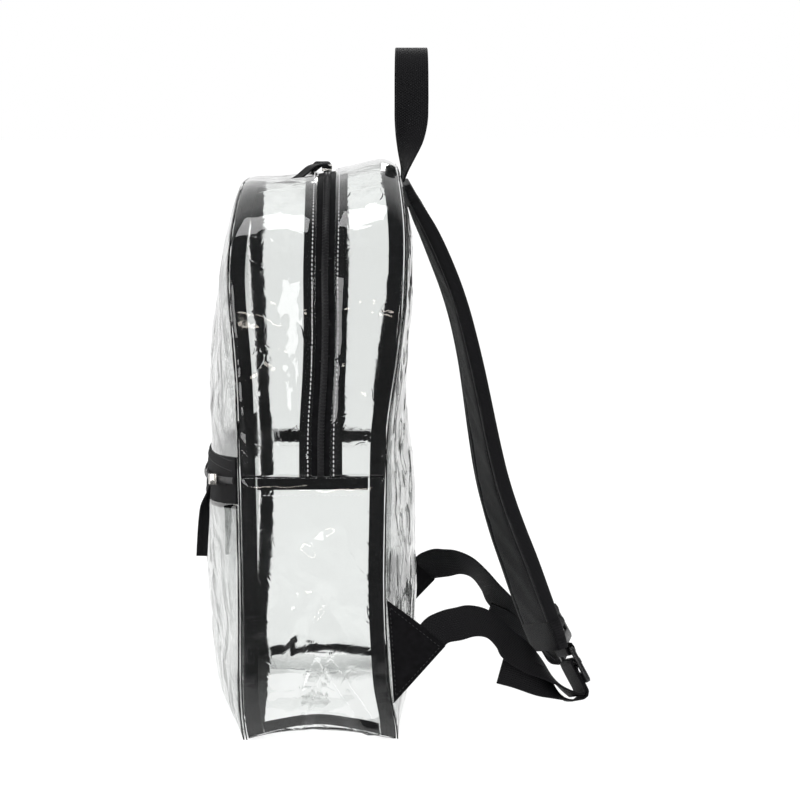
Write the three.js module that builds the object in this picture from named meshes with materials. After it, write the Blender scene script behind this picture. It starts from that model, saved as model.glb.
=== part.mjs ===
import * as THREE from 'three';

// A clear stadium backpack, in millimetres. The wearer's right is +X, the back panel and the
// shoulder straps are on +Y, and the bag stands on z = 0 with the middle of its bottom at the origin.

// The bag
const bagWidth = 305;
const frontHeight = 414;
const backHeight = 425;
const bagDepth = 108;
const cornerRadius = 90;
const sideSeamHeight = 198;
const frontBulge = 30;
const backBulge = 25;
const sheetWall = 1;
const clearance = 0.3;
const seamClearance = 0.7;

// Dents and sags of the soft sheets
const bottomArch = 9;
const bottomTuck = 10;
const tuckHeight = 54;
const tuckReach = 34;
const foldDepth = 8;
const crestHeight = 5;
const crestAcross = 0.88;
const crestReach = 0.1;
const bottomFlatWidth = 180;

// How sharply a panel's swell falls off towards its side seams, how soon a gusset fold fades towards
// the gusset's long edges, and how far along the path it starts from the side seam.
const swellPower = 2.4;
const foldHold = 12;
const foldStart = 0.25;

// Seam tape
const bindingWidth = 11;
const bindingWall = 2;
const bottomBindingHeight = 8;

// Main zip
const zipSetback = 4.5;
const zipDrift = 1.5;
const tapeWidth = 32;
const tapeWall = 0.8;
const tapeShowing = 13.5;
const coilWidth = 5;
const coilHeight = 1.6;
const toothGap = 0.6;
const sliderLength = 13;
const sliderWidth = 8;
const sliderHeight = 3;
const sliderSpacing = 18;
const pullLength = 55;
const pullWidth = 8.5;
const pullWall = 1.2;

// Front pocket
const pocketHeight = 213;
const pocketSag = 8;
const pocketDepth = 12;
const pocketSlope = 77;
const bandHeight = 35;
const bandWall = 1.6;
const pocketSliderInset = 40;
const pocketPullLength = 54;

// Webbing, handle and side tabs
const webbingWidth = 25;
const webbingWall = 1.5;
const handleRise = 103;
const handleSpan = 56;
const handleLean = 7;
const handleFoot = 413;
const tabFoot = 27;
const tabHeight = 78;
const tabReach = 42;
const tabTip = 70;
const tabTilt = 43;
const tabWall = 2;

// Shoulder straps
const strapWidth = 62;
const strapPad = 9;
const strapEdge = 3;
const strapDrop = 356;
const strapReach = 112;
const strapTop = 410;
const strapTopSpacing = 92;
const strapFootSpacing = 160;
const loopGripLength = 30;

// Ladder locks
const lockWidth = 33;
const lockWall = 3.5;
const lockBar = 4;
const lockUpperSlot = 6.5;
const lockLowerSlot = 7;
const lockLip = 8.5;
const lockTwist = 20;
const lockLean = 28;
const lockSplay = 6;
const lockStandOff = 10;
const lockDrop = 20;

const halfWidth = bagWidth / 2;
const halfDepth = bagDepth / 2;

// Seams: how far the front and the back seam stand out at each height, as shares of half the depth.
// The heights are shares of the back's height. The bag stands a little twisted: at its left side both
// seams are further back, by the share under turn of leftSetback.
const leftSetback = 8;
const seams = [
  { at: 0, front: 1.03, back: 1.12, turn: 0 },
  { at: 0.03, front: 1.07, back: 1.1, turn: 0 },
  { at: 0.08, front: 1.095, back: 1.01, turn: 0.1 },
  { at: 0.14, front: 1.095, back: 0.98, turn: 0.32 },
  { at: 0.25, front: 1.09, back: 0.94, turn: 0.75 },
  { at: 0.42, front: 1.11, back: 0.96, turn: 1 },
  { at: 0.56, front: 1.135, back: 0.985, turn: 0.88 },
  { at: 0.625, front: 1.15, back: 1.07, turn: 0.78 },
  { at: 0.7, front: 1.19, back: 1.15, turn: 0.8 },
  { at: 0.76, front: 1.235, back: 1.2, turn: 0.92 },
  { at: 0.82, front: 1.26, back: 1.22, turn: 1 },
  { at: 0.89, front: 1.22, back: 1.23, turn: 0.85 },
  { at: 0.94, front: 1.16, back: 1.2, turn: 0.65 },
  { at: 1, front: 1.06, back: 1.14, turn: 0.45 },
];

// Bulges: how far the panels swell past their seams, as shares of frontBulge and backBulge.
const bulges = [
  { at: 0, front: 0.03, back: 0.03 },
  { at: 0.03, front: 0.5, back: 0.34 },
  { at: 0.07, front: 0.64, back: 0.68 },
  { at: 0.11, front: 0.7, back: 0.84 },
  { at: 0.17, front: 0.78, back: 0.95 },
  { at: 0.26, front: 0.94, back: 0.9 },
  { at: 0.42, front: 1.03, back: 0.82 },
  { at: 0.5, front: 0.9, back: 0.62 },
  { at: 0.58, front: 0.88, back: 0.46 },
  { at: 0.65, front: 0.78, back: 0.3 },
  { at: 0.7, front: 0.67, back: 0.22 },
  { at: 0.76, front: 0.54, back: 0.2 },
  { at: 0.83, front: 0.36, back: 0.2 },
  { at: 0.9, front: 0.3, back: 0.14 },
  { at: 1, front: 0, back: 0 },
];

// Folds of the gusset: soft dents, deep as a share of foldDepth. along is the place on the path
// (1 the right side seam, 2 and 3 the ends of a corner, 3.5 the top middle), spread its length
// there, across the place from the front seam to the back seam and reach its width there.
const gussetFolds = [
  { along: 1.35, spread: 0.35, across: 0.22, reach: 0.1, deep: 0.35 },
  { along: 1.75, spread: 0.3, across: 0.17, reach: 0.08, deep: 0.5 },
  { along: 2.1, spread: 0.35, across: 0.2, reach: 0.12, deep: 0.6 },
  { along: 1.6, spread: 0.4, across: 0.82, reach: 0.09, deep: 0.45 },
  { along: 2.2, spread: 0.3, across: 0.85, reach: 0.08, deep: 0.4 },
  { along: 3.2, spread: 0.22, across: 0.27, reach: 0.16, deep: 1 },
];

// Folds of the front and the back panel, in shares of half the width and of the back's height.
const panelFolds = {
  front: [
    { side: 0.62, at: 0.68, spread: 0.1, reach: 0.09, deep: 0.6 },
    { side: -0.55, at: 0.66, spread: 0.14, reach: 0.1, deep: 0.5 },
    { side: 0.1, at: 0.8, spread: 0.3, reach: 0.06, deep: 0.4 },
  ],
  back: [
    { side: 0.7, at: 0.45, spread: 0.12, reach: 0.08, deep: 0.4 },
    { side: -0.6, at: 0.5, spread: 0.12, reach: 0.09, deep: 0.4 },
    { side: 0, at: 0.62, spread: 0.3, reach: 0.07, deep: 0.3 },
  ],
};

const clearSheet = { color: 0xe9eeeb, roughness: 0.06, metalness: 0, transparent: true, opacity: 0.35 };
const blackTape = { color: 0x17171b, roughness: 0.6, metalness: 0 };
const blackWebbing = { color: 0x121216, roughness: 0.85, metalness: 0 };
const blackNylon = { color: 0x1a191e, roughness: 0.75, metalness: 0 };
const blackPlastic = { color: 0x111113, roughness: 0.3, metalness: 0 };
const brightMetal = { color: 0xc9c5bf, roughness: 0.22, metalness: 1 };

const bag = new THREE.Group();

// Reads one column of a table at a place, on a smooth curve through its rows.
function readRows(rows, column, place, key = 'at') {
  const last = rows.length - 1;
  const at = THREE.MathUtils.clamp(place, rows[0][key], rows[last][key]);
  let i = 0;
  while (i < last - 1 && at > rows[i + 1][key]) i += 1;
  const slope = (a, b) => (rows[b][column] - rows[a][column]) / (rows[b][key] - rows[a][key]);
  const step = rows[i + 1][key] - rows[i][key];
  const share = (at - rows[i][key]) / step;
  const rise0 = slope(Math.max(i - 1, 0), i + 1) * step;
  const rise1 = slope(i, Math.min(i + 2, last)) * step;
  const start = rows[i][column];
  const end = rows[i + 1][column];
  return (
    start +
    share * rise0 +
    share ** 2 * (3 * (end - start) - 2 * rise0 - rise1) +
    share ** 3 * (rise0 + rise1 - 2 * (end - start))
  );
}

// Adds a mesh, with its faces turned outwards whichever way its points run.
function addMesh(name, geometry, finish) {
  const place = geometry.attributes.position;
  const index = geometry.index.array;
  const [a, b, c] = [new THREE.Vector3(), new THREE.Vector3(), new THREE.Vector3()];
  let volume = 0;
  for (let i = 0; i < index.length; i += 3) {
    a.fromBufferAttribute(place, index[i]);
    b.fromBufferAttribute(place, index[i + 1]);
    c.fromBufferAttribute(place, index[i + 2]);
    volume += a.dot(b.cross(c));
  }
  if (volume < 0) index.reverse();
  geometry.computeVertexNormals();
  const mesh = new THREE.Mesh(geometry, new THREE.MeshStandardMaterial(finish));
  mesh.name = name;
  bag.add(mesh);
  return mesh;
}

// A solid through a row of sections, each the same number of points. The first half of a section
// faces its second half across the wall, so the ends close with strips between them. A face is split
// the same way on both sides of the wall, and along its shorter diagonal where it is much shorter.
const shortcut = 1.25;
function loft(name, sections, finish, closed = false) {
  const count = sections[0].length;
  const points = sections.flat();
  const positions = points.flatMap((p) => p.toArray());
  const index = [];
  const quad = (a, b, c, d) => index.push(a, b, c, a, c, d);
  const spans = closed ? sections.length : sections.length - 1;
  for (let i = 0; i < spans; i += 1) {
    const here = i * count;
    const next = ((i + 1) % sections.length) * count;
    for (let j = 0; j < count; j += 1) {
      const k = (j + 1) % count;
      const corners = [here + j, next + j, next + k, here + k];
      const [a, b, c, d] = corners.map((corner) => points[corner]);
      const share = a.distanceTo(c) / b.distanceTo(d);
      const turned = j < count / 2 ? share > shortcut : share > 1 / shortcut;
      if (turned) corners.push(corners.shift());
      quad(...corners);
    }
  }
  if (!closed) {
    const end = (sections.length - 1) * count;
    for (let j = 0; j < count / 2 - 1; j += 1) {
      quad(j, j + 1, count - 2 - j, count - 1 - j);
      quad(end + j + 1, end + j, end + count - 1 - j, end + count - 2 - j);
    }
  }
  const geometry = new THREE.BufferGeometry();
  geometry.setAttribute('position', new THREE.Float32BufferAttribute(positions, 3));
  geometry.setIndex(index);
  return addMesh(name, geometry, finish);
}

// A sheet: point(row, column, depth) gives its outer face at depth 0 and its inner face at the wall.
function sheet(name, rows, columns, point, wall, finish, closed = false) {
  const sections = rows.map((row) => [
    ...columns.map((column) => point(row, column, 0)),
    ...columns.map((column) => point(row, column, wall)).reverse(),
  ]);
  return loft(name, sections, finish, closed);
}

// Evenly spaced values from start to end, both included.
function steps(start, end, count) {
  return Array.from({ length: count + 1 }, (_, i) => start + ((end - start) * i) / count);
}

function mirrored(side, point) {
  return new THREE.Vector3(side * point.x, point.y, point.z);
}

const sides = [
  { name: 'right', side: 1 },
  { name: 'left', side: -1 },
];

// Where a soft dent is deepest it is 1, and it fades to nothing over its reach.
function dent(distance, reach) {
  return Math.exp(-((distance / reach) ** 2));
}

// The seams and the faces of the two arched panels

function seamY(face, x, z) {
  const sign = face === 'front' ? -1 : 1;
  const at = z / backHeight;
  const setback = leftSetback * readRows(seams, 'turn', at) * (0.5 - x / bagWidth);
  return sign * halfDepth * readRows(seams, face, at) + setback;
}

const heights = { front: frontHeight, back: backHeight };
const swell = { front: frontBulge, back: backBulge };

// Height of a panel's arched edge above a place on its width.
function archTop(face, x) {
  const past = Math.max(0, Math.abs(x) - (halfWidth - cornerRadius));
  return heights[face] - cornerRadius + Math.sqrt(Math.max(0, cornerRadius ** 2 - past ** 2));
}

function faceY(face, x, z) {
  const across = x / halfWidth;
  const at = z / backHeight;
  const below = Math.min(1, Math.max(0, archTop(face, x) - z) / cornerRadius);
  const fade = (1 - Math.abs(across) ** swellPower) * (1 - (1 - below) ** 2);
  const folds = panelFolds[face].reduce((sum, fold) => {
    const near = dent(across - fold.side, fold.spread) * dent(at - fold.at, fold.reach);
    return sum + fold.deep * foldDepth * near;
  }, 0);
  const sign = face === 'front' ? -1 : 1;
  const out = swell[face] * readRows(bulges, face, at) - folds * Math.min(1, below * 2);
  return seamY(face, x, z) + sign * out * fade;
}

function bandTop(x) {
  return pocketHeight - pocketSag * (1 - (x / halfWidth) ** 2);
}

// How far the front panel stands back behind the faces of the pocket and its band.
const pocketInset = bandWall + 2 * clearance;
function pocketShift(x, z) {
  const under = 1 - THREE.MathUtils.smoothstep(z, bandTop(x) - pocketSlope, bandTop(x) - bandHeight);
  const belly = under * (1 - Math.abs(x / halfWidth) ** swellPower) * Math.min(1, z / bandHeight);
  return pocketInset + pocketDepth * belly;
}

const cornerSteps = 6;
const cornerColumns = steps(0, Math.PI / 2, cornerSteps).map((a) => cornerRadius * Math.cos(a));
const topColumns = steps(-1, 1, 5).map((share) => share * (halfWidth - cornerRadius));
const panelColumns = [
  ...cornerColumns.slice(0, -1).map((c) => -(halfWidth - cornerRadius) - c),
  ...topColumns,
  ...cornerColumns.slice(0, -1).reverse().map((c) => halfWidth - cornerRadius + c),
];

// Rows of the front panel and of the pocket on it: level with the pocket's own edges low down, then
// spread evenly up to the arched edge.
const pocketRows = steps(0, 1, 7).map((share) => (x) => share ** 1.3 * (bandTop(x) - bandHeight));
const bandRows = steps(0, 1, 2).map((share) => (x) => bandTop(x) - (1 - share) * bandHeight);
const upperShares = steps(0, 1, 6).slice(1);
const upperRows = upperShares.map((share) => (x) =>
  THREE.MathUtils.lerp(bandTop(x), archTop('front', x), share),
);
const frontRows = [...pocketRows, ...bandRows.slice(1), ...upperRows];

// The same levels on the path of the gusset and on the back panel, whose lower rows are the side's.
const legHeight = frontHeight - cornerRadius - sideSeamHeight;
const pocketStep = (pocketHeight - sideSeamHeight) / legHeight;
const upperLevels = [
  0,
  pocketStep,
  ...upperShares.map((share) => THREE.MathUtils.lerp(pocketStep, 1, share)),
];
const bottomBindingShare = bottomBindingHeight / sideSeamHeight;
const sideShares = [0, bottomBindingShare, 0.1, 0.18, 0.28, 0.42, 0.58, 0.76, 0.95];
const backRows = [
  ...sideShares.map((share) => () => share * sideSeamHeight),
  ...upperLevels.map((level) => (x) => THREE.MathUtils.lerp(sideSeamHeight, archTop('back', x), level)),
];

sheet(
  'front_panel',
  frontRows,
  panelColumns,
  (row, x, depth) => {
    const z = row(x);
    return new THREE.Vector3(x, faceY('front', x, z) + pocketShift(x, z) + depth, z);
  },
  sheetWall,
  clearSheet,
);

sheet(
  'back_panel',
  backRows,
  panelColumns,
  (row, x, depth) => new THREE.Vector3(x, faceY('back', x, row(x)) - depth, row(x)),
  sheetWall,
  clearSheet,
);

// The pocket: its clear panel, and the black band that holds its zip

const pocketFace = (row, x, depth) => new THREE.Vector3(x, faceY('front', x, row(x)) + depth, row(x));
const hemRow = (x) => bandTop(x) - bandHeight - clearance;
sheet(
  'pocket_panel',
  [...pocketRows.slice(0, -1), hemRow],
  panelColumns,
  pocketFace,
  sheetWall,
  clearSheet,
);
sheet('pocket_band', bandRows, panelColumns, pocketFace, bandWall, blackNylon);

// The bottom panel and the lower side panels

const endReach = halfWidth - bottomFlatWidth / 2;

// How far the sheets are pushed in and lifted at the foot of each side.
function tuck(y, z) {
  const share = 1 - z / tuckHeight - Math.abs(y) / tuckReach;
  return bottomTuck * Math.max(0, share);
}

function lift(x, y) {
  const end = Math.max(0, (Math.abs(x) - bottomFlatWidth / 2) / endReach);
  return bottomArch * end ** 2 * Math.max(0, 1 - (y / halfDepth) ** 2);
}

function sideX(y, z, depth) {
  return halfWidth - tuck(y, z) - depth;
}

function sideFoot(y) {
  return lift(halfWidth, y);
}

const edgeGap = sheetWall + clearance;
const seamInset = sheetWall + seamClearance;
const frontEdge = (x, z) => seamY('front', x, z) + pocketShift(halfWidth, z) + seamInset;
const backEdge = (x, z) => seamY('back', x, z) - seamInset;

const bottomRows = [-1, -0.75, -0.5, -0.25, 0, 1, 1.25, 1.5, 1.75, 2];

// Place across a side, between the taped seams: whole numbers are the edges of the seam tape.
function sideY(side, z, place) {
  const front = frontEdge(side * halfWidth, z);
  const back = backEdge(side * halfWidth, z);
  const edges = [front, front + bindingWidth, back - bindingWidth, back];
  const i = Math.min(2, Math.floor(place));
  return THREE.MathUtils.lerp(edges[i], edges[i + 1], place - i);
}

// A point on a lower side, with share 0 at its foot and 1 at the side seam.
function lowerSide(side, share, place, depth, foot = 0) {
  const y0 = sideY(side, share * sideSeamHeight, place);
  const z = THREE.MathUtils.lerp(sideFoot(y0) + foot, sideSeamHeight, share);
  return new THREE.Vector3(side * sideX(y0, z, depth), y0, z);
}

// A point on the bottom, with row 0 to 1 its flat middle and -1 and 2 its two ends.
function bottomPoint(row, place, depth, inset = 0) {
  const y = sideY(1, 0, place);
  const reach = sideX(y, 0, inset) - bottomFlatWidth / 2;
  const flat = (Math.min(1, Math.max(0, row)) - 0.5) * bottomFlatWidth;
  const x = flat + (Math.min(0, row) + Math.max(0, row - 1)) * reach;
  return new THREE.Vector3(x, y, lift(x, y) + depth);
}

const sideColumns = [0, ...steps(1, 2, 8), 3];
const sideTop = 1 - clearance / 2 / sideSeamHeight;
const sideRows = [...sideShares, sideTop];
const endGap = (4 * clearance) / (bagDepth - 2 * bindingWidth);
const innerColumns = [1 + endGap, ...steps(1, 2, 8).slice(1, -1), 2 - endGap];
sheet('bottom_panel', bottomRows, sideColumns, bottomPoint, sheetWall, clearSheet);
for (const { name, side } of sides) {
  sheet(
    `side_panel_${name}`,
    sideRows,
    sideColumns,
    (row, place, depth) => lowerSide(side, row, place, depth, edgeGap),
    sheetWall,
    clearSheet,
  );
  sheet(
    `side_binding_${name}`,
    [sideShares.at(-1), 1],
    innerColumns,
    (row, place, depth) => lowerSide(side, row, place, edgeGap + depth, edgeGap),
    bindingWall,
    blackTape,
  );
  sheet(
    `bottom_binding_${name}`,
    [0, bottomBindingShare],
    innerColumns,
    (row, place, depth) => lowerSide(side, row, place, edgeGap + depth, edgeGap),
    bindingWall,
    blackTape,
  );
}

// The gusset: the path runs from the right side seam (1) over the top (3.5) to the left one (6)

function outline(height, along) {
  const folded = along > 3.5 ? 7 - along : along;
  const mirror = along > 3.5 ? -1 : 1;
  const shoulder = height - cornerRadius;
  const point = new THREE.Vector3(halfWidth, 0, shoulder);
  const inward = new THREE.Vector3(-1, 0, 0);
  if (folded <= 2) {
    point.z = sideSeamHeight + (folded - 1) * (shoulder - sideSeamHeight);
  } else if (folded <= 3) {
    const turn = (folded - 2) * (Math.PI / 2);
    inward.set(-Math.cos(turn), 0, -Math.sin(turn));
    point.x = halfWidth - cornerRadius + cornerRadius * Math.cos(turn);
    point.z = shoulder + cornerRadius * Math.sin(turn);
  } else {
    inward.set(0, 0, -1);
    point.x = (halfWidth - cornerRadius) * (7 - 2 * folded);
    point.z = height;
  }
  point.x *= mirror;
  inward.x *= mirror;
  return { point, inward, folded };
}

// A point at a distance from the front edge of the gusset, or from its back edge if that is negative,
// or from the zip's centre line.
function gusset(along, from, distance, depth) {
  const front = outline(frontHeight, along);
  const back = outline(backHeight, along);
  front.point.y = frontEdge(front.point.x, front.point.z);
  back.point.y = backEdge(back.point.x, back.point.z);
  const span = front.point.distanceTo(back.point);
  const zipMiddle = span / 2 + zipSetback + (zipDrift * front.point.x) / halfWidth;
  const starts = { front: 0, back: span, zip: zipMiddle };
  const across = (starts[from] + distance) / span;
  const top = THREE.MathUtils.clamp(front.folded - 2, 0, 1);
  const crest = top * dent(across - crestAcross, crestReach);
  const held = Math.min(1, foldHold * across * (1 - across));
  const sink = gussetFolds.reduce((sum, fold) => {
    const near = dent(front.folded - fold.along, fold.spread) * dent(across - fold.across, fold.reach);
    return sum + fold.deep * foldDepth * near;
  }, 0);
  const start = Math.min(1, Math.max(0, front.folded - 1) / foldStart);
  const point = front.point.clone().lerp(back.point, across);
  const inward = front.inward;
  return point.addScaledVector(inward, depth + held * (sink * start - crest * crestHeight));
}

const gussetPath = [
  ...upperLevels.map((level) => 1 + level),
  ...steps(2, 3, cornerSteps).slice(1),
  ...steps(3, 4, 5).slice(1),
  ...steps(4, 5, cornerSteps).slice(1),
  ...upperLevels.map((level) => 6 - level).reverse().slice(1),
];

// The path, drawn back from the side seams at its two ends so that the pieces there stay apart.
const seamGap = clearance / legHeight;
const stripPath = gussetPath.map((along) => THREE.MathUtils.clamp(along, 1 + seamGap, 6 - seamGap));

const frontColumns = [
  { from: 'front', distance: 0 },
  { from: 'front', distance: bindingWidth },
  { from: 'zip', distance: -tapeWidth },
  { from: 'zip', distance: -tapeWidth / 2 },
  { from: 'zip', distance: -tapeShowing / 2 },
];
const backColumns = [
  { from: 'zip', distance: tapeShowing / 2 },
  { from: 'zip', distance: tapeWidth / 2 },
  { from: 'zip', distance: (tapeWidth * 3) / 4 },
  { from: 'back', distance: -bindingWidth },
  { from: 'back', distance: 0 },
];
const onGusset = (skip) => (along, column, depth) =>
  gusset(along, column.from, column.distance, skip + depth);

sheet('gusset_front', stripPath, frontColumns, onGusset(0), sheetWall, clearSheet);
sheet('gusset_back', stripPath, backColumns, onGusset(0), sheetWall, clearSheet);

for (const [name, sign] of [['front', -1], ['back', 1]]) {
  const distances = [toothGap / 2, tapeShowing / 2, tapeWidth / 2].map((distance) => sign * distance);
  distances.sort((a, b) => a - b);
  const columns = distances.map((distance) => ({ from: 'zip', distance }));
  sheet(`zip_tape_${name}`, stripPath, columns, onGusset(edgeGap), tapeWall, blackTape);
}

// The seam tape round the front and the back panel: a closed hoop inside the gusset and the bottom.
const hoopRoute = [
  ...sideShares,
  ...gussetPath,
  ...sideShares.map((share) => 7 - share).reverse(),
  ...bottomRows.slice(1, -1).map((row) => 8 + row),
];
for (const [name, from, sign] of [['front', 'front', 1], ['back', 'back', -1]]) {
  const hoopPoint = (along, column, depth) => {
    const inset = edgeGap + depth;
    const edge = name === 'front' ? column : 3 - column;
    if (along >= 1 && along <= 6) return gusset(along, from, sign * column * bindingWidth, inset);
    if (along < 1) return lowerSide(1, along, edge, inset, inset);
    if (along <= 7) return lowerSide(-1, 7 - along, edge, inset, inset);
    return bottomPoint(along - 8, edge, inset, inset);
  };
  const columns = name === 'front' ? [0, 1] : [1, 0];
  sheet(`binding_${name}`, hoopRoute, columns, hoopPoint, bindingWall, blackTape, true);
}

// Zip teeth, sliders and ribbon pulls

// A flat coil: six-sided sections, wider than they are high. place(station, distance, depth).
function coil(name, stations, place, width) {
  const corners = [
    [-width / 2, 0],
    [-width / 4, coilHeight / 2],
    [width / 4, coilHeight / 2],
    [width / 2, 0],
    [width / 4, -coilHeight / 2],
    [-width / 4, -coilHeight / 2],
  ];
  const sections = stations.map((station) => corners.map(([across, out]) => place(station, across, out)));
  return loft(name, sections, blackTape);
}

// The sections of a ribbon or webbing, from rows of a middle point and the direction of its width.
function ribbonSections(rows, width, wall) {
  return rows.map((row, i) => {
    const before = rows[Math.max(0, i - 1)].point;
    const after = rows[Math.min(rows.length - 1, i + 1)].point;
    const run = after.clone().sub(before).normalize();
    const across = row.across.clone().addScaledVector(run, -row.across.dot(run)).normalize();
    const out = run.clone().cross(across);
    const corner = (a, b) =>
      row.point.clone().addScaledVector(across, (a * width) / 2).addScaledVector(out, (b * wall) / 2);
    return [corner(-1, 1), corner(1, 1), corner(1, -1), corner(-1, -1)];
  });
}

const coilDepth = sheetWall - coilHeight / 2;
coil('zip_coil', stripPath, (along, across, out) => gusset(along, 'zip', across, coilDepth - out), coilWidth);

// A slider's side outline: a base plate with a bridge over it that the pull is looped through.
function sliderShape(length) {
  const plate = sliderHeight / 2;
  const shape = new THREE.Shape();
  shape.moveTo(-length / 2, 0);
  shape.lineTo(length / 2, 0);
  shape.lineTo(length / 2, plate);
  shape.lineTo(length / 4, plate);
  shape.lineTo(length / 6, sliderHeight + plate);
  shape.lineTo(-length / 4, sliderHeight + plate);
  shape.lineTo(-length / 3, plate);
  shape.lineTo(-length / 2, plate);
  const hole = new THREE.Path();
  hole.moveTo(-length / 5, plate * 1.2);
  hole.lineTo(-length / 6, sliderHeight + plate / 4);
  hole.lineTo(length / 9, sliderHeight + plate / 4);
  hole.lineTo(length / 7, plate * 1.2);
  shape.holes.push(hole);
  return shape;
}

function addSlider(name, point, lengthways, out) {
  const plan = { depth: sliderWidth, bevelEnabled: false };
  const geometry = new THREE.ExtrudeGeometry(sliderShape(sliderLength), plan);
  geometry.translate(0, 0, -sliderWidth / 2);
  const mesh = new THREE.Mesh(geometry, new THREE.MeshStandardMaterial(brightMetal));
  const x = lengthways.clone().normalize();
  const y = out.clone().addScaledVector(x, -out.dot(x)).normalize();
  mesh.name = name;
  mesh.position.copy(point);
  mesh.quaternion.setFromRotationMatrix(new THREE.Matrix4().makeBasis(x, y, x.clone().cross(y)));
  bag.add(mesh);
}

// The two main sliders meet at the middle of the top, and their pulls flop forwards over the bag.
// run and forward are how far a pull goes along and across the zip, and at and lift, like them, are
// shares of its length.
const topSpan = bagWidth - 2 * cornerRadius;
const coilTop = coilDepth - coilHeight / 2 - clearance;
const mainPulls = [
  { name: 'right', side: 1, run: 0.69, forward: 0.62 },
  { name: 'left', side: -1, run: 0.74, forward: 0.28 },
];
const pullRows = [
  { at: 0, lift: 0.066 },
  { at: 0.12, lift: 0.13 },
  { at: 0.35, lift: 0.15 },
  { at: 0.6, lift: 0.1 },
  { at: 0.8, lift: 0.07 },
  { at: 1, lift: 0.06 },
];
for (const { name, side, run, forward } of mainPulls) {
  const at = 3.5 - (side * sliderSpacing) / 2 / topSpan;
  const seat = gusset(at, 'zip', 0, coilTop);
  const ahead = gusset(at - (side * sliderLength) / topSpan, 'zip', 0, coilTop);
  addSlider(`slider_${name}`, seat, ahead.sub(seat), new THREE.Vector3(0, 0, 1));
  const sideways = new THREE.Vector3(side * forward, run, 0).normalize();
  const rows = pullRows.map((row) => {
    const reach = sliderSpacing / 2 + sliderLength / 2 + clearance + row.at * pullLength * run;
    const along = 3.5 - (side * reach) / topSpan;
    const back = -row.at * pullLength * forward;
    return { point: gusset(along, 'zip', back, -row.lift * pullLength), across: sideways };
  });
  loft(`slider_pull_${name}`, ribbonSections(rows, pullWidth, pullWall), blackWebbing);
}

// The pocket zip, with one slider near the right end and a pull that hangs from it: down and out are
// shares of its length, and turn is in degrees.
const zipRow = (x) => bandTop(x) - bandHeight / 2;
const pocketEnds = [panelColumns[0] + webbingWall, panelColumns.at(-1) - webbingWall];
coil(
  'pocket_coil',
  [pocketEnds[0], ...panelColumns.slice(1, -1), pocketEnds[1]],
  (x, across, out) => {
    const z = zipRow(x) - across;
    return new THREE.Vector3(x, faceY('front', x, z) - clearance - coilHeight / 2 - out, z);
  },
  coilWidth,
);
const pocketSeat = (x) =>
  new THREE.Vector3(x, faceY('front', x, zipRow(x)) - 2 * clearance - coilHeight, zipRow(x));
const sliderX = halfWidth - pocketSliderInset;
const sliderSeat = pocketSeat(sliderX);
const outwards = new THREE.Vector3(0.3, -1, 0);
addSlider('pocket_slider', sliderSeat, pocketSeat(sliderX + sliderLength).sub(sliderSeat), outwards);
const pocketPullRows = [
  { down: 0, out: 0.07, turn: 0 },
  { down: 0.12, out: 0.1, turn: 15 },
  { down: 0.28, out: 0.14, turn: 45 },
  { down: 0.45, out: 0.155, turn: 70 },
  { down: 0.72, out: 0.175, turn: 78 },
  { down: 1, out: 0.19, turn: 80 },
];
const pocketPullPath = pocketPullRows.map(({ down, out, turn }) => {
  const angle = THREE.MathUtils.degToRad(turn);
  const z = sliderSeat.z - sliderWidth / 2 - clearance - down * pocketPullLength;
  const point = new THREE.Vector3(sliderX + sliderWidth / 3, sliderSeat.y - out * pocketPullLength, z);
  return { point, across: new THREE.Vector3(Math.cos(angle), -Math.sin(angle), 0) };
});
loft('pocket_pull', ribbonSections(pocketPullPath, pullWidth, pullWall), blackWebbing);

// The haul handle: one webbing loop, its feet flat on the back and its top turned crosswise.
// rise is a share of the height of its legs, lean of handleLean, and turn is in degrees.
const handleRows = [
  { rise: 0, lean: 0, turn: 0 },
  { rise: 0.12, lean: 0.25, turn: 8 },
  { rise: 0.27, lean: 0.5, turn: 28 },
  { rise: 0.43, lean: 0.8, turn: 52 },
  { rise: 0.62, lean: 1, turn: 76 },
  { rise: 0.8, lean: 1.05, turn: 90 },
];
const handleTopLean = handleRows.at(-1).lean * handleLean;
const handleRadius = handleSpan / 2;
const handleLeg = handleRise - handleRadius;
const footY = faceY('back', -handleRadius, handleFoot) + webbingWall / 2 + 2 * clearance;
const handleTop = steps(0, 90, 6).map((angle) => {
  const turn = THREE.MathUtils.degToRad(angle);
  const point = new THREE.Vector3(
    handleRadius * Math.cos(turn),
    footY + handleTopLean,
    handleFoot + handleLeg + handleRadius * Math.sin(turn),
  );
  return { point, across: new THREE.Vector3(0, 1, 0) };
});
const handleHalf = [
  ...handleRows.map(({ rise, lean, turn }) => {
    const angle = THREE.MathUtils.degToRad(turn);
    const z = handleFoot + rise * handleLeg;
    const point = new THREE.Vector3(handleRadius, footY + lean * handleLean, z);
    return { point, across: new THREE.Vector3(Math.cos(angle), Math.sin(angle), 0) };
  }),
  ...handleTop,
];
const handleOther = handleHalf.slice(0, -1).reverse().map(({ point, across }) => ({
  point: mirrored(-1, point),
  across: mirrored(-1, across),
}));
const handleLoop = [...handleHalf, ...handleOther];
loft('haul_handle', ribbonSections(handleLoop, webbingWidth, webbingWall), blackWebbing);

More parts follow.
